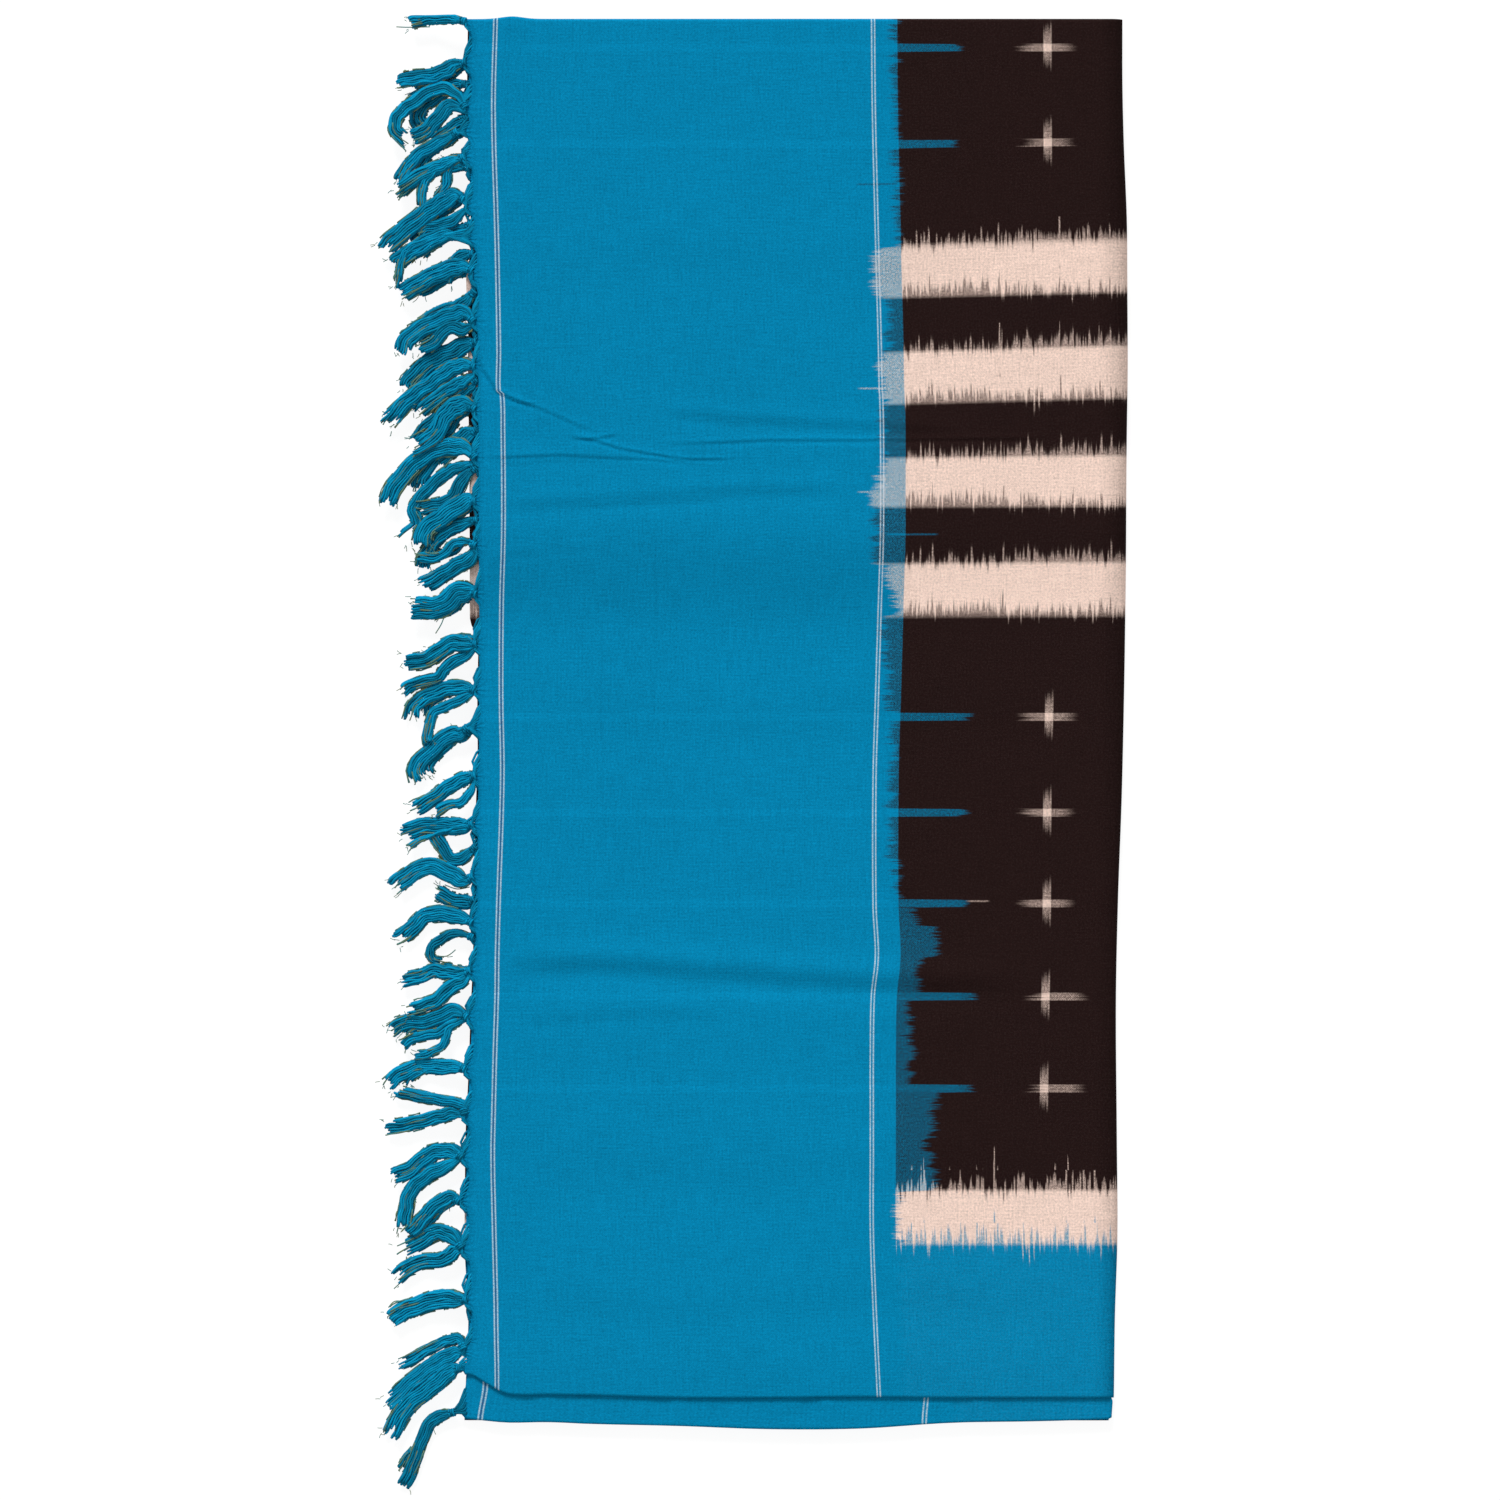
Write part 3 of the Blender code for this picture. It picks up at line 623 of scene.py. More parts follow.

    # Streaks along the threads, cloudy dye, small dark slubs, and painted shade and light at the folds and
    # edge
    warp_way = add_node("VectorMath", {0: in_mm, 1: (0.07, 1.1, 1)}, operation="MULTIPLY")
    weft_way = add_node("VectorMath", {0: in_mm, 1: (1.1, 0.07, 1)}, operation="MULTIPLY")
    warp_streak = noise(warp_way, 1, 2)
    shade = warp_streak * 0.32 + noise(weft_way, 1, 2) * 0.32 + noise(in_mm, 0.02, 4) * 0.10
    shade += noise(in_mm, 1.1, 1) * 0.72 + 0.26
    # Painted shade: the cloth is darker from the right fold on along the warp, and the blue rows darker
    # still
    shade -= soft_step(along, *RIGHT_FOLD_PAINTED_SHADE) * (soft_step(over, 580, 590) * 0.14 + 0.26)
    # Painted light: the fourth cream row is lighter in the body, where it lies on the step's slope away
    # from the lamp
    shade += within(over, 272, 13, 5) * soft_step(along, 198, 212) * 0.11
    shade += in_cross_row * soft_step(along, 206, 200) * 0.06
    shade *= soft_step(uneven_yarn, 0.20, 0.28) * 0.3 + 0.7
    if gathered:
        pull = add_node("Attribute", tree=tree, output=1, attribute_name="knot_pull")
        inward, aside, strength = split(pull)
        # Painted shade: darker within a few millimetres of the knotted edge, where the cloth droops
        shade -= soft_step(inward, 4.5, 0.5) * 0.13
    grey = add_node("CombineColor", {0: shade, 1: shade, 2: shade})
    link(dye(1, colour, grey, blend_type="MULTIPLY"), shader, "Base Color")

    # Relief in millimetres: the crossings, uneven yarn, and the fan of gathers at each knot
    relief = crossing * 0.02 + uneven_yarn * 0.09 + warp_streak * 0.05 + lines * 0.05
    if gathered:
        inward += 1.0
        away = calc("SQRT", aside * aside + inward * inward)
        fan = calc("SINE", calc("ARCTAN2", aside, inward) * 9 + uneven_yarn * 5)
        relief += fan * soft_step(away, 9, 1.5) * strength * 0.12
    link(add_node("Bump", {"Strength": 1.0, "Distance": MM, "Height": relief}), shader, "Normal")
    link(uneven_yarn * 0.10 + 0.84, shader, "Roughness")
    shader.inputs["Specular IOR Level"].default_value = 0.02
    return material


front.data.materials.append(weave_cotton("double_ikat_gathered", True))
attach(front, "root")
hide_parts("front_panel")


# Far end panel
# The cloth's other knotted end, the next layer down in the stack. Its selvedge shows as a narrow blue
# strip below the front one, with its own pairs of cream lines a little further apart.
FAR_DROP = 671.0 * MM
FAR_ROWS = (
    (1.5, 241, 50), (241, 294, 20), (294, 640, 66), (640, 671, 26),
)  # fmt: skip
FAR_COLUMNS = (
    (0, 12, 8), (12, 290, 62), (290, 311, 12),
)  # fmt: skip
FAR_CREASES = tabulate(
    "width depth path",
    (4.0, 0.3, ((30, 655), (36, 672))),
    (3.0, 0.3, ((96, 655), (92, 672))),
    (4.0, 0.35, ((168, 655), (160, 672))),
    (3.5, 0.3, ((236, 655), (243, 672))),
)
FAR_INSET = 0.9 * MM
FAR_ROLL = 3.0 * MM
FAR_CORNER = 3.0 * MM
FAR_LINE = 6.2 * MM  # its outer pair of lines, from the left
FAR_SCALE = 0.85  # the front's pattern beside its own, which is stretched
LAST_KNOT = 664.0 * MM
LAST_KNOT_PULL = 2.2 * MM
LAST_KNOT_REACH = 9.0 * MM
far_rows = places(FAR_ROWS)
far_columns = places(FAR_COLUMNS)


def far_point(column, row):
    down = far_rows[row]
    shown = fraction(down, FRONT_DROP - 4 * MM, FRONT_DROP + 2 * MM)
    share = far_columns[column] / far_columns[-1]
    hidden_end = right_edge(down) - fold_radius(down)
    across = mix(left_edge(down) + FAR_INSET, mix(hidden_end, right_edge(down) - 0.6 * MM, shown), share)
    lower = down + read(HEMS, "far", across) * fraction(down, FRONT_DROP, FAR_DROP)
    to_right = across - (right_edge(down) - FAR_CORNER)
    to_left = left_edge(down) + FAR_INSET + FAR_CORNER - across
    to_corner = max(to_right, to_left, 0) / FAR_CORNER
    rounding = FAR_CORNER * (1 - math.sqrt(max(1 - to_corner**2, 0))) * 0.7
    lower -= rounding * fraction(down, FRONT_DROP, FAR_DROP)
    pull = LAST_KNOT_PULL * math.exp(-(((lower - LAST_KNOT) / LAST_KNOT_REACH) ** 2))
    across -= pull * (1 - fraction(across, 0, 10 * MM))
    roll = max(FAR_ROLL - down, 0)
    height = stack_height(across, lower) - LAYER_STEP - roll * roll / FAR_ROLL
    return across, lower, height - crease_depth(FAR_CREASES, across, lower)


def far_mark(column, row):
    across, down, _ = far_point(column, row)
    lean = (2.8 - 6.4 * across) * MM * fraction(down, FRONT_DROP - 8 * MM, FAR_DROP)
    return OUTER_LINE + (across + lean - FAR_LINE) * FAR_SCALE, down * FRONT_DROP / FAR_DROP


far, _ = lay_sheet("far_end_cloth", len(far_rows), len(far_columns), far_point, far_mark)
give_thickness(far)
plain_ikat = weave_cotton("double_ikat", False)
far.data.materials.append(plain_ikat)
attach(far, "root")
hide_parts("far_end_panel")


# Folded core
# The five panels between the far end and the back, folded to and fro, and drawn as six uneven layers. Only
# their edges show: soft folds at the left, and selvedges one above the other at the bottom.
LAYERS = tabulate(
    "top hem left",
    (0.8, 5.0, 0.5), (1.6, 8.0, 1.6), (0.6, 4.0, 0.3), (1.5, 7.0, 1.2), (0.9, 3.8, 0.2), (1.3, 5.8, 1.0),
)  # fmt: skip
LEVELS_A_LAYER = 5
LAYER_GROOVE = 1.3 * MM
CORE_RIGHT = 2.0 * MM
CORE_CORNER = 1.5 * MM
CORE_FLOOR = 1.2 * MM
SHOWN_FOLD = 4.4 * MM  # how far the upper folds look out from under the front panel, between these places
SHOWN_FROM = (108 * MM, 122 * MM)
SHOWN_TO = (286 * MM, 298 * MM)
TOP_WAVER = 0.35 * MM  # the unevenness of the layers' edges
HEM_WAVER = 0.9 * MM
LEFT_WAVER = 0.5 * MM
CORE_MARK = 0.62  # where the core's cloth begins along the warp, in metres
CORE_COLUMNS = ((0, 8, 4), (8, 296, 58), (296, 311, 6))
CORE_ROWS = ((0, 8, 4), (8, 240, 46), (240, 295, 18), (295, 660, 74), (660, 671, 5))
core_columns = places(CORE_COLUMNS)
core_rows = places(CORE_ROWS)


def outline_steps(columns, rows):
    """Places round the edge of a grid: down its left side, along the bottom, up, and back along the top."""
    steps = [(0, row) for row in range(rows)]
    steps += [(column, rows) for column in range(columns)]
    steps += [(columns, row) for row in range(rows, 0, -1)]
    steps += [(column, 0) for column in range(columns, 0, -1)]
    return steps


def waver(place, layer, salt):
    """A slow unevenness along a layer's edge, from -1 to 1."""
    slow = math.sin(place / MM / 31 + 2.1 * layer + salt)
    return 0.6 * slow + 0.4 * math.sin(place / MM / 11.3 + 3.7 * layer + 2 * salt)


def core_point(column, row, level):
    """A point of the core, at this level out of all the levels of its layers."""
    layer = min(level // LEVELS_A_LAYER, len(LAYERS) - 1)
    within_layer = (level - layer * LEVELS_A_LAYER) / LEVELS_A_LAYER
    nose = 1 - math.sqrt(max(1 - (2 * within_layer - 1) ** 2, 0))
    groove = LAYER_GROOVE * nose**0.8
    down = core_rows[row]
    across = core_columns[column]
    low, high = 0, len(core_rows) - 1
    if row == low:
        down = LAYERS[layer].top * MM + groove + TOP_WAVER * waver(across, layer, 1)
    if row == high:
        down = FAR_DROP - LAYERS[layer].hem * MM - groove + HEM_WAVER * waver(across, layer, 2)
    shown = fraction(down, *SHOWN_FROM) * (1 - fraction(down, *SHOWN_TO))
    left = left_edge(down) + LAYERS[layer].left * MM + groove + LEFT_WAVER * waver(down, layer, 3)
    left -= SHOWN_FOLD * shown * (layer + 1) / len(LAYERS)
    half = (stack_height(STACK_WIDTH, down) - LAYER_STEP * 2 - CORE_FLOOR) / 2
    share = level / (LEVELS_A_LAYER * len(LAYERS))
    right = right_edge(down) - CORE_RIGHT - half * (1 - math.sqrt(max(1 - (2 * share - 1) ** 2, 0)))
    across = mix(left, right, core_columns[column] / core_columns[-1])
    if column in (0, len(core_columns) - 1) and row in (low, high):
        across += CORE_CORNER if column == 0 else -CORE_CORNER
        down += CORE_CORNER if row == low else -CORE_CORNER
    top = stack_height(across, down) - 2 * LAYER_STEP + 0.4 * MM
    sag = 0.25 * MM * waver(down + across, layer, 5) * math.sin(math.pi * share)
    return origin + Vector((across, -down, mix(CORE_FLOOR, top, share) + sag))


core_mesh = bpy.data.meshes.new("folded_core_cloth")
core = bpy.data.objects.new("folded_core_cloth", core_mesh)
bpy.context.scene.collection.objects.link(core)
steps = outline_steps(len(core_columns) - 1, len(core_rows) - 1)
top_level = LEVELS_A_LAYER * len(LAYERS)
faces = []
for level in range(top_level):
    for one, after in zip(steps, steps[1:] + steps[:1]):
        faces.append([(*one, level), (*after, level), (*after, level + 1), (*one, level + 1)])
for column in range(len(core_columns) - 1):
    for row in range(len(core_rows) - 1):
        corners = [(column, row), (column, row + 1), (column + 1, row + 1), (column + 1, row)]
        faces.append([(*corner, top_level) for corner in corners])
        faces.append([(*corner, 0) for corner in reversed(corners)])
numbers = {place: k for k, place in enumerate(dict.fromkeys(place for face in faces for place in face))}
points = [core_point(*place) for place in numbers]
core_mesh.from_pydata(points, [], [[numbers[place] for place in face] for face in faces])
core_map = core_mesh.uv_layers.new(name="cloth")
for loop, uv in zip(core_mesh.loops, core_map.data):
    spot = core_mesh.vertices[loop.vertex_index].co - origin
    uv.uv = (CORE_MARK + spot.x + 0.2 * math.floor(spot.z / LAYER_STEP) * MM, -spot.y)
core_mesh.shade_smooth()
core_mesh.materials.append(plain_ikat)
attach(core, "root")
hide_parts("folded_core")


# Back panel
# The lowest panel of the stack, flat on the table with its face down: the cloth's body, where the rows of
# crosses go on.
BACK_INSET = 0.6 * MM
PANEL_WIDTH = 0.3125
BACK_CREASES = tabulate(
    "width depth path",
    (4.0, -0.3, ((40, 90), (140, 100), (250, 92))),
    (3.0, -0.25, ((30, 226), (120, 232), (200, 224))),
    (5.0, -0.3, ((60, 420), (160, 431), (270, 424))),
    (2.0, -0.2, ((150, 500), (154, 590))),
    (3.0, -0.25, ((210, 300), (214, 372))),
)
back_rows = places([(0.8, 666, 166)])
back_columns = places([(0, 311, 78)])


def back_point(column, row):
    down = back_rows[row]
    turn = fold_radius(down) * (1 - math.cos(math.radians(FOLD_END)))
    right = right_edge(down) - turn - 2 * BACK_INSET
    across = mix(left_edge(down) + BACK_INSET, right, back_columns[column] / back_columns[-1])
    return across, down, CLOTH + max(-crease_depth(BACK_CREASES, across, down), 0)


def back_mark(column, row):
    across, down, _ = back_point(column, row)
    return PANEL_WIDTH + STACK_WIDTH - across, down


back, _ = lay_sheet("back_panel_cloth", len(back_rows), len(back_columns), back_point, back_mark)
give_thickness(back)
back.data.materials.append(plain_ikat)
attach(back, "root")
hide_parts("back_panel")


# Fringe
# The warp's own ends, twisted in bunches and knotted close to the cloth. Each bunch is two or three dozen
# cotton yarns that spread below the knot into flat wavy locks, with frayed tips.

# The locks that the tassels part into: where the knot is down the edge, the lock's width, and its way from
# the knot as (out, down), all in millimetres
FRONT_LOCKS = tabulate(
    "root width way",
    (1, 5.4, ((1.5, 0.2), (8, -1.3), (17, -1.6), (24, -0.2), (29, 1))),
    (21, 7.0, ((1, 0), (6, 1), (11, 4), (18, 6), (27, 7), (34, 9))),
    (43, 6.0, ((1, -1), (5, -7), (14, -10), (26, -3), (33, 3), (34, 10), (27, 17))),
    (43, 6.6, ((1, 1), (8, -2), (15, 5), (21, 11), (27, 13))),
    (54, 5.5, ((5, 0), (12, 4), (23, 10), (30, 18), (33, 24))),
    (66, 5.5, ((2, 0), (9, 2), (13, 4), (21, 7), (36, 16))),
    (66, 4.5, ((2, 1), (9, 4), (11, 13), (17, 21))),
    (66, 4.0, ((4, 1), (13, 4), (18, 8), (22, 14), (23, 25))),
    (90, 8.0, ((3, -4), (7, -6), (14, -2), (23, 4), (36, 14), (43, 21))),
    (90, 5.5, ((2, 1), (10, 7), (21, 9), (26, 12))),
    (105, 7.5, ((7, -1), (14, -2), (26, 4), (34, 9), (38, 13))),
    (105, 3.5, ((14, -2), (28, 3), (34, 9), (37, 23))),
    (123, 8.0, ((1, -3), (5, -5), (11, -4), (21, 0), (30, 5), (38, 9))),
    (144, 8.0, ((1, 0), (5, -4), (10, -3), (21, 1), (32, 8), (35, 16))),
    (144, 6.0, ((1, 2), (6, 4), (13, 3), (20, 10), (28, 14))),
    (165, 7.0, ((1, 1), (5, 0), (12, 2), (22, 9), (33, 17), (44, 29))),
    (165, 6.0, ((1, 5), (6, 8), (10, 10), (18, 15), (28, 23))),
    (187, 8.5, ((1, -1), (5, -3), (10, -2), (15, 2), (21, 12), (32, 18))),
    (209, 8.0, ((1, 0), (5, -4), (10, -5), (19, -4), (30, 3), (40, 15), (43, 23))),
    (230, 8.5, ((1, 0), (5, 0), (16, 7), (25, 14), (26, 22))),
    (251, 3.8, ((1, 0), (6, -2), (12, 0), (17, 5), (24, 6), (30, 5))),
    (251, 7.0, ((1, 1), (3, 6), (10, 10), (18, 15), (27, 20))),
    (274, 9.5, ((1, 0), (4, -1), (10, 0), (17, 6), (25, 7), (32, 7))),
    (298, 7.5, ((1, 0), (5, 0), (13, 0), (24, 7), (36, 9))),
    (298, 5.0, ((1, 1), (5, 5), (14, 10), (19, 16), (30, 19), (36, 23))),
    (320, 6.5, ((2, 0), (5, -1), (13, -1), (22, 2), (30, 7), (32, 15))),
    (320, 4.3, ((2, 1), (5, 3), (13, 7), (21, 11), (24, 22), (23, 26))),
    (338, 7.5, ((5, 0), (8, 3), (14, 4), (22, 11), (29, 19), (27, 26))),
    (361, 6.5, ((1, 0), (5, 1), (13, 5), (21, 11), (32, 17))),
    (361, 3.8, ((1, 2), (3, 8), (8, 13), (14, 14), (21, 19))),
    (384, 7.5, ((2, 0), (6, 1), (14, 1), (24, 1), (36, 4))),
    (384, 2.2, ((8, 1), (14, 3), (25, 7), (33, 12))),
    (408, 7.5, ((1, 1), (5, 3), (11, 0), (22, -4), (32, 1), (39, 7))),
    (431, 7.0, ((1, 0), (5, -2), (14, -4), (23, -3), (30, 4), (37, 9))),
    (454, 6.0, ((1, 0), (5, 1), (12, 1), (18, 0), (26, 3), (34, 4))),
    (454, 6.5, ((1, 1), (4, 5), (10, 8), (16, 14), (23, 17), (31, 19))),
    (476, 7.0, ((2, 0), (8, -3), (20, 2), (32, 3), (38, 8))),
    (476, 4.5, ((2, 1), (7, 3), (16, 8), (26, 10), (32, 14))),
    (476, 3.6, ((2, 1), (10, 6), (12, 13), (18, 17), (26, 19))),
    (501, 7.0, ((2, 0), (6, -1), (15, -1), (24, -1), (33, 3), (39, 9))),
    (523, 4.8, ((1, -1), (2, -5), (12, -7), (24, -9), (35, -12))),
    (523, 6.2, ((2, 0), (6, -1), (14, 1), (26, 4), (39, 6))),
    (543, 6.8, ((2, 0), (5, -2), (11, -3), (18, -1), (26, 6), (35, 10))),
    (543, 6.6, ((2, 0), (8, 4), (18, 9), (26, 17), (28, 27), (30, 37))),
    (564, 6.5, ((3, 0), (7, -2), (16, 4), (22, 11), (28, 17))),
    (587, 7.0, ((2, -1), (5, -5), (10, -8), (15, -8), (20, -5), (33, 2))),
    (587, 6.5, ((2, 0), (5, 1), (11, 5), (24, 7), (35, 15))),
    (611, 8.5, ((1, 0), (5, 0), (14, 0), (24, 3), (32, 6), (37, 10))),
    (636, 4.8, ((2, -2), (4, -6), (10, -5), (20, 0), (33, 8))),
    (636, 7.5, ((2, 0), (6, 1), (15, 6), (26, 15), (37, 26))),
    (644, 8.0, ((3, 0), (7, 1), (16, 9), (28, 19), (36, 33))),
)

# The rows underneath show only here and there: these locks do, on the part of the near end folded behind
FRONT_FOLD_LOCKS = tabulate(
    "root width way",
    (31, 5.0, ((2, 0), (5, 0), (12, 1), (20, 3), (28, 7))),
    (47, 5.0, ((1, 0), (3, 1), (9, 5), (18, 11))),
    (71, 5.5, ((1, 0), (5, -1), (14, 0), (25, 5), (36, 13))),
    (98, 5.0, ((1, 0), (6, 2), (15, 4), (24, 9), (32, 15))),
    (112, 6.0, ((1, 0), (6, 1), (12, 7), (15, 14))),
    (128, 6.5, ((1, 2), (8, 9), (18, 12), (29, 20))),
    (154, 8.5, ((1, 0), (5, 1), (13, 5), (22, 9), (32, 18), (33, 23))),
    (172, 9.0, ((1, 0), (5, 2), (11, 6), (18, 13))),
    (182, 6.0, ((1, 1), (8, 3), (14, 4), (24, 12), (30, 20))),
    (196, 8.0, ((1, 0), (6, 3), (13, 9), (20, 15))),
    (212, 5.5, ((1, 0), (7, 1), (16, 5), (26, 14), (31, 22), (29, 29), (37, 37))),
    (213, 6.0, ((1, 1), (7, 6), (13, 16), (22, 19), (30, 20))),
    (238, 6.0, ((1, 1), (8, 3), (18, 8), (26, 18), (27, 24))),
)

# These belong to the far end, and show between the front row's tassels
FAR_LOCKS = tabulate(
    "root width way",
    (395, 5.5, ((1, 0), (4, 3), (9, 6), (13, 5), (18, -2), (21, -7))),
    (421, 6.5, ((1, -1), (3, 0), (8, 0), (14, -2), (20, -5))),
    (438, 4.2, ((1, 0), (8, -2), (16, 1), (21, 6), (19, 11), (13, 12))),
    (665, 5.5, ((6, 0), (10, 1), (17, 5), (22, 16), (26, 27), (30, 36))),
    (665, 3.2, ((8, 0), (16, 5), (20, 13), (28, 21), (32, 28))),
)

# Loose single threads beside the tassels
LOOSE_THREADS = tabulate(
    "root way",
    (274, ((15, 8), (17, 14), (20, 19))),
    (165, ((36, 20), (41, 23), (45, 22))),
    (438, ((17, 9), (12, 9), (8, 6))),
    (587, ((24, 12), (29, 14), (35, 19))),
    (611, ((30, 1), (35, 1), (38, 4))),
    (384, ((2, 30), (8, 31), (14, 29))),
    (1, ((18, 2.4), (28, 2.6), (34, 2.4))),
)
FRINGE_STEP = (302.0 * MM, 330.0 * MM)
DRAPE_REACH = 20.0 * MM
LYING = 1.4 * MM  # the height of a lock's middle where it lies on the table
LOCK_LAYER = 1.5 * MM
YARN_RADIUS = 0.52 * MM
YARN_SPACING = 1.08
YARN_STEP = 1.5
UNDER_YARN = 1.6  # the yarns inside a lock, as a share of the ones on top
CRIMP = 0.8  # the turn of a yarn's waves, in radians for each millimetre
LIFT = 0.55  # neighbouring locks lie this much higher, one after another, and then low again
KNOT_TURNS = 3
KNOT_WIDTH = 3.3
FLUFF_RADIUS = 0.16 * MM
FULLNESS = 1.08  # a lock's yarns spread a little past its width
WORN_PIECES = 5  # short pieces of worn yarn along each side of a lock
FRAYED_PATCHES = 3  # worn yarns that lie on a lock towards its tip
FARTHEST_GATHER = 15.0  # how far along the edge a knot draws the warp's ends in
ABOVE_FOLD = 1.5 * MM  # how far the first tassel rises above the lengthwise fold

# The rows of fringe, from the top: how many layers of cloth and rows of fringe lie over and under each,
# how far in its edge lies, and where the edge ends
FRONT_FRINGE, FRONT_FOLD_FRINGE, FAR_FOLD_FRINGE, FAR_FRINGE = tabulate(
    "name over over_thin under under_thin inset last",
    ("fringe_front_yarn", 0, 0, 3, 1, 0.0, 648.0),
    ("fringe_front_fold_yarn", 1, 1, 2, 2, 0.8, 266.0),
    ("fringe_far_fold_yarn", 2, 2, 1, 1, 0.9, 266.0),
    ("fringe_far_yarn", 3, 1, 0, 0, 0.9, 668.0),
)


def edge_height(row, down):
    over = mix(row.over, row.over_thin, fraction(down, TURNED_BACK, TURNED_BACK + STEP_REACH))
    return stack_height(0, down) - over * LAYER_STEP - CLOTH / 2


def lock_height(row, out, down):
    """Height of the middle of a lock, at this distance out from the cloth's edge."""
    under = mix(row.under, row.under_thin, fraction(down, *FRINGE_STEP))
    return mix(edge_height(row, down), LYING + under * LOCK_LAYER, fraction(out, 1 * MM, DRAPE_REACH))


def smooth_path(stops, share):
    """A point on a smooth curve through the stops, at this share of its length."""
    place = share * (len(stops) - 1)
    k = min(int(place), len(stops) - 2)
    t = place - k
    before, first = stops[max(k - 1, 0)], stops[k]
    second, after = stops[k + 1], stops[min(k + 2, len(stops) - 1)]
    start, end = (second - before) / 2, (after - first) / 2
    return (
        first * (2 * t**3 - 3 * t**2 + 1)
        + second * (3 * t**2 - 2 * t**3)
        + start * (t**3 - 2 * t**2 + t)
        + end * (t**3 - t**2)
    )


class Fringe:
    """One row of fringe, drawn yarn by yarn on a curve with a round section."""

    def __init__(self, row, seed):
        self.row = row
        self.front = row is FRONT_FRINGE
        self.chance = random.Random(seed)
        self.curve = bpy.data.curves.new(row.name, "CURVE")
        self.curve.dimensions = "3D"
        self.curve.bevel_depth = YARN_RADIUS
        self.curve.bevel_resolution = 0
        self.curve.use_fill_caps = True
        self.curve.resolution_u = 1
        for shade in yarn_shades:
            self.curve.materials.append(shade)

    def add_yarn(self, path, radii, shade=None):
        """One yarn through points of (out, down, height), in metres from the row's edge and the fold."""
        spline = self.curve.splines.new("POLY")
        spline.points.add(len(path) - 1)
        if shade is None:
            # Each yarn takes a tone at random; the rows underneath take mostly the deeper tones, as painted
            # shade for lying under the front row
            shades = (BRIGHT, BRIGHT, PLAIN, PLAIN, DEEP) if self.front else (PLAIN, DEEP, DEEP)
            shade = self.chance.choice(shades)
        spline.material_index = shade
        for point, (out, down, height), radius in zip(spline.points, path, radii):
            edge = left_edge(max(min(down, FAR_DROP), 0)) + self.row.inset * MM
            lowest = YARN_RADIUS * radius + 0.05 * MM
            point.co = (*(origin + Vector((edge - out, -max(down, -ABOVE_FOLD), max(height, lowest)))), 1)
            point.radius = radius

    def above(self, root, spot, rise=0):
        """A yarn's point at this spot from its knot, this far above the lock's middle, in millimetres."""
        out, down = spot.x * MM, (root + spot.y) * MM
        height = lock_height(self.row, out, max(min(down, FAR_DROP), 0))
        return out, down, height + rise * MM

    def gather(self, lock, fan, band):
        """The start of a yarn: out of the cloth's edge, this far down it from the knot, and along it."""
        points = []
        for share, out, rise in ((1.0, -1.0, -0.3), (0.85, 0.4 * band, 0.3), (0.5, 0.4 + band, 0.9)):
            down = (lock.root + fan * share) * MM
            height = edge_height(self.row, max(min(down, FAR_DROP), 0)) + rise * MM
            points.append(((scallop(down) if self.front else 0) + out * MM, down, height))
        knot_out, knot_down = lock.way[0]
        down = (lock.root + fan * 0.2 + knot_down * 0.5) * MM
        return points + [(max(knot_out * 0.6, 0.7, 0.6 * band) * MM, down, height)]

    def add_lock(self, lock, number):
        """One lock: its yarns leave the cloth's edge, pass the knot together, and spread."""
        chance = self.chance
        stops = [Vector(stop) for stop in lock.way]
        length = sum((b - a).length for a, b in zip(stops, stops[1:]))
        steps = max(round(length / YARN_STEP), 4)
        width = lock.width * FULLNESS
        columns = max(round(width / YARN_SPACING), 2)
        twist = chance.uniform(0.5, 1.5) * chance.choice((-1, 1))
        ripple = chance.uniform(0, 6.28)
        ends = [chance.uniform(0.9, 1.0) for _ in range(3)]
        partings = [chance.uniform(0.0, 0.7) for _ in range(2)]
        bands = [chance.uniform(1.6, 3.6), chance.uniform(0.3, 1.4)]
        lift = LIFT * (number % 3)
        knot_above = max((root for root in self.roots if root < lock.root), default=lock.root - 2)
        knot_below = min((root for root in self.roots if root > lock.root), default=self.row.last)

        def place(share, shift):
            share = min(max(share, 0), 1)
            ahead = smooth_path(stops, min(share + 0.03, 1)) - smooth_path(stops, max(share - 0.03, 0))
            return smooth_path(stops, share) + Vector((-ahead.y, ahead.x)).normalized() * shift

        def half_width(share):
            neck = mix(0.36, 1.0, fraction(share, 0.0, 0.32))
            return width / 2 * neck * mix(1, 1.1, fraction(share, 0.6, 1))

        for k in range(2 * columns - 1):
            upper = k % 2
            across = -1 + 2 * (k + 1) / (2 * columns)
            group = min(int((across + 1) * 1.5), 2)
            reach = ends[group] * chance.uniform(0.95, 1.01)
            parting = (group - 1) * partings[0 if group < 1 else 1]
            splay = chance.uniform(-0.7, 0.7)
            crimp = chance.uniform(0.15, 0.45) if upper else 0.15
            own = chance.uniform(-0.9, 0.9)
            path = []
            for step in range(steps + 1):
                share = step / steps * reach
                turn = twist * (share - 0.4)
                shift = across * half_width(share) * math.cos(turn)
                wave = math.sin(ripple + own + CRIMP * share * length)
                shift += crimp * wave * fraction(share, 0.05, 0.3)
                shift += parting * fraction(share, 0.55, 1) + splay * fraction(share, 0.8, 1.05)
                rise = (upper - 0.5) * 1.05 + across * math.sin(turn) * 1.2
                rise += lift * fraction(share, 0.05, 0.3) + 0.15 * math.sin(own * 5 + share * length * 0.6)
                path.append(self.above(lock.root, place(share, shift), rise))

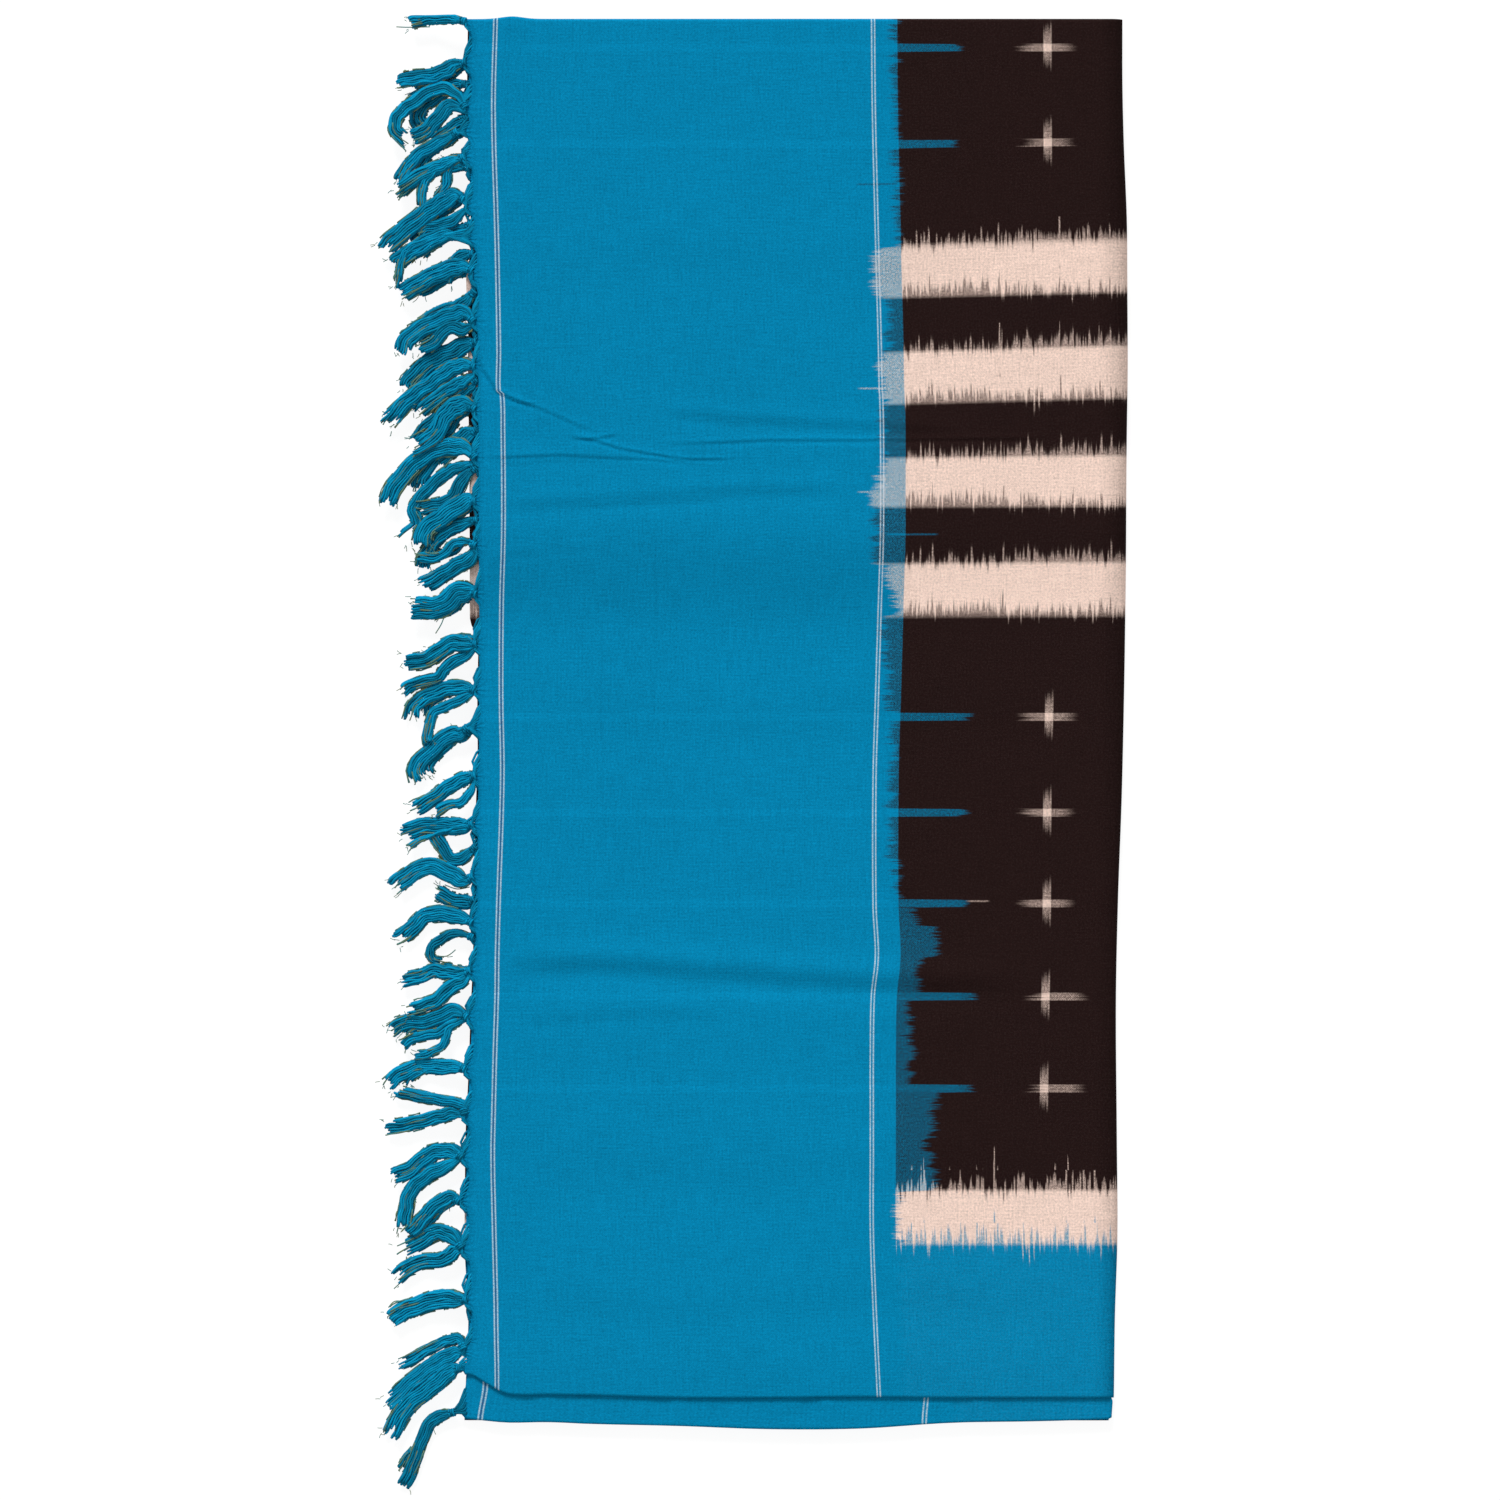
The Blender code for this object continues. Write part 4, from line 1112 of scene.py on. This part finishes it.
            # Before the knot, the yarns come out of the cloth's edge, most of them on the side of the
            # tassel above, and lie along it in a flat band
            from_above = across < 0
            drawn_from = (lock.root - knot_above) * 0.8 if from_above else (knot_below - lock.root) * 0.3
            fan = across * min(drawn_from, FARTHEST_GATHER) + chance.uniform(-0.5, 0.5)
            fan = min(max(fan, 0.8 - lock.root), self.row.last - lock.root)
            start = self.gather(lock, fan, bands[0 if from_above else 1] * abs(across))
            radii = [0.8, 1.1, 1.2, 1.2, 1.1] + [1.2 if upper else UNDER_YARN] * (steps - 1) + [0.95]
            self.add_yarn(start + path, radii)

        # Worn yarns in short pieces along both sides, worn patches on top, and frayed fibres that stand off
        for piece in range(2 * WORN_PIECES):
            side = 1 if piece % 2 else -1
            start = 0.08 + 0.82 * (piece // 2 + chance.uniform(0.0, 0.5)) / WORN_PIECES
            reach = chance.uniform(0.05, 0.16)
            aside = chance.uniform(-0.15, 0.35)
            path = []
            for step in range(4):
                share = start + reach * step / 3
                shift = side * (half_width(share) + aside + chance.uniform(-0.25, 0.25))
                path.append(self.above(lock.root, place(share, shift), lift - 0.5))
            self.add_yarn(path, [chance.uniform(0.5, 1.0) for _ in path], WORN)
        for _ in range(FRAYED_PATCHES):
            start = chance.uniform(0.55, 0.85)
            shift = half_width(start) * chance.uniform(-0.95, 0.95)
            bend = chance.uniform(-1.2, 1.2)
            spots = [place(start + 0.22 * step / 4, shift + bend * (step / 4) ** 2) for step in range(5)]
            path = [self.above(lock.root, spot, lift + 0.75) for spot in spots]
            self.add_yarn(path, [chance.uniform(0.5, 0.8) for _ in path], WORN)
        for _ in range(2 + round(lock.width / 2)):
            share = chance.choice((chance.uniform(0.3, 0.9), 0.94, 0.99))
            side = chance.choice((-1, 1))
            shift = half_width(share) * chance.choice((side, chance.uniform(-1, 1)))
            begin = place(share, shift)
            ahead = (place(min(share + 0.04, 1), shift) - place(share - 0.04, shift)).normalized()
            off = Vector((-ahead.y, ahead.x)) * side
            way = ahead.lerp(off, chance.uniform(0.0, 0.7)).normalized()
            reach = chance.uniform(1.0, 2.8)
            curl = chance.uniform(-0.8, 0.8)
            path = []
            for step in range(5):
                spot = begin + way * reach * step / 4 + Vector((-way.y, way.x)) * curl * (step / 4) ** 2
                path.append(self.above(lock.root, spot, lift + chance.uniform(-0.5, 0.3)))
            self.add_yarn(path, [FLUFF_RADIUS / YARN_RADIUS] * len(path), WORN)

    def add_knot(self, lock):
        """Turns of a tassel's own yarn round its neck."""
        way = (Vector(lock.way[1]) - Vector(lock.way[0])).normalized()
        aside = Vector((-way.y, way.x))
        for turn_number in range(KNOT_TURNS):
            path = []
            for step in range(9):
                angle = step / 8 * 2 * math.pi * 0.97 + turn_number
                along = turn_number * 1.0 + 0.5 * math.sin(angle) - 0.4
                spot = Vector(lock.way[0]) + way * along + aside * KNOT_WIDTH / 2 * math.cos(angle)
                path.append(self.above(lock.root, spot, 1.6 * math.sin(angle) + 0.4))
            self.add_yarn(path, [1.05] * len(path))

    def add_loose_thread(self, thread):
        stops = [Vector(stop) for stop in thread.way]
        path = [self.above(thread.root, smooth_path(stops, step / 8)) for step in range(9)]
        self.add_yarn(path, [0.5] * len(path), WORN)

    def finish(self, locks):
        """Draws the locks and their knots, and makes the row a mesh."""
        self.roots = [lock.root for lock in locks]
        for number, lock in enumerate(locks):
            self.add_lock(lock, number)
            if lock.root not in self.roots[:number]:
                self.add_knot(lock)
        piece = bpy.data.objects.new(self.row.name, self.curve)
        bpy.context.scene.collection.objects.link(piece)
        bpy.ops.object.select_all(action="DESELECT")
        piece.select_set(True)
        bpy.context.view_layer.objects.active = piece
        bpy.ops.object.convert(target="MESH")
        piece = bpy.context.object
        closed_ends = piece.modifiers.new("closed_ends", "WELD")
        closed_ends.merge_threshold = 0.0001 * MM
        bpy.ops.object.modifier_apply(modifier=closed_ends.name)
        piece.data.shade_smooth()
        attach(piece, "root")
        return piece


def twisted_cotton(name, pale, deep):
    """Loose cotton yarn, cloudy between two shades, with a tinge in its finest grain."""
    material, tree, shader = new_finish(name)
    place = add_node("TexCoord", tree=tree, output="Object")
    fine = noise(place, 1500, 2)
    colour = dye(soft_step(noise(place, 260, 3), 0.30, 0.70), (*deep, 1), (*pale, 1))
    link(dye(soft_step(fine, 0.52, 0.80) * 0.4, colour, TINGE), shader, "Base Color")
    link(add_node("Bump", {"Strength": 0.3, "Distance": 0.15 * MM, "Height": fine}), shader, "Normal")
    shader.inputs["Roughness"].default_value = 0.9
    shader.inputs["Specular IOR Level"].default_value = 0.06
    return material


TINGE = (0.012, 0.140, 0.190, 1)
# Three tones of the blue yarn that differ at random, the deeper ones also painting the shade of the rows
# underneath, and an olive worn yarn
yarn_shades = (
    twisted_cotton("bright_yarn", (0.001, 0.285, 0.500), (0.001, 0.230, 0.405)),
    twisted_cotton("plain_yarn", (0.001, 0.235, 0.415), (0.001, 0.185, 0.330)),
    twisted_cotton("deep_yarn", (0.001, 0.180, 0.310), (0.001, 0.125, 0.220)),
    twisted_cotton("worn_yarn", (0.060, 0.220, 0.210), (0.150, 0.190, 0.090)),
)
BRIGHT, PLAIN, DEEP, WORN = range(len(yarn_shades))


def lying_under(locks, reach, first, last):
    """The locks of a row just beneath another one: they go the same way, shorter, and are seldom seen."""
    found = []
    for number, lock in enumerate(locks):
        if first <= lock.root <= last and (number == 0 or locks[number - 1].root != lock.root):
            sway = math.sin(2.4 * number + first)
            out_reach, lean = reach + 0.05 * sway, 0.04 * sway
            way = [(out * out_reach, down * reach + out * lean) for out, down in lock.way]
            found.append(lock._replace(root=lock.root + 1.2 * sway, width=lock.width * 0.72, way=way))
    return found


front_row = Fringe(FRONT_FRINGE, 4)
for thread in LOOSE_THREADS:
    front_row.add_loose_thread(thread)
front_fringe = front_row.finish(FRONT_LOCKS)
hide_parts("fringe_front")
front_fold_fringe = Fringe(FRONT_FOLD_FRINGE, 5).finish(FRONT_FOLD_LOCKS)
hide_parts("fringe_front_fold")
far_fold_locks = lying_under(FRONT_LOCKS, 0.72, 12, TURNED_BACK / MM - 8)
far_fold_fringe = Fringe(FAR_FOLD_FRINGE, 6).finish(far_fold_locks)
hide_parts("fringe_far_fold")
far_locks = lying_under(FRONT_LOCKS, 0.8, 12, 380) + lying_under(FRONT_LOCKS, 0.8, 450, 630)
far_fringe = Fringe(FAR_FRINGE, 7).finish(far_locks + FAR_LOCKS)
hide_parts("fringe_far")


# Table and light
# A plain pale table, lit a little from below. A broad soft lamp beyond the lengthwise fold shows the
# creases, and the room's even light fills the rest.
bpy.ops.mesh.primitive_plane_add(size=6, location=(0, 0, -0.0005))
table = bpy.context.object
table.name = "pale_table"
table_paint, _, table_shader = new_finish("pale_table")
table_shader.inputs["Base Color"].default_value = (0.16, 0.16, 0.16, 1)
table_shader.inputs["Roughness"].default_value = 0.9
table_shader.inputs["Specular IOR Level"].default_value = 0.1
table_shader.inputs["Emission Color"].default_value = (1, 1, 1, 1)
table_shader.inputs["Emission Strength"].default_value = 0.9
table.data.materials.append(table_paint)

world = bpy.data.worlds.new("room")
world.use_nodes = True
world.node_tree.nodes["Background"].inputs["Color"].default_value = (1, 1, 1, 1)
world.node_tree.nodes["Background"].inputs["Strength"].default_value = 0.5
bpy.context.scene.world = world

bpy.ops.object.light_add(type="SUN", rotation=(math.radians(-56), math.radians(-16), 0))
sun = bpy.context.object
sun.name = "soft_key"
sun.data.energy = 2.9
sun.data.angle = math.radians(20)
bpy.context.scene.view_settings.view_transform = "Standard"
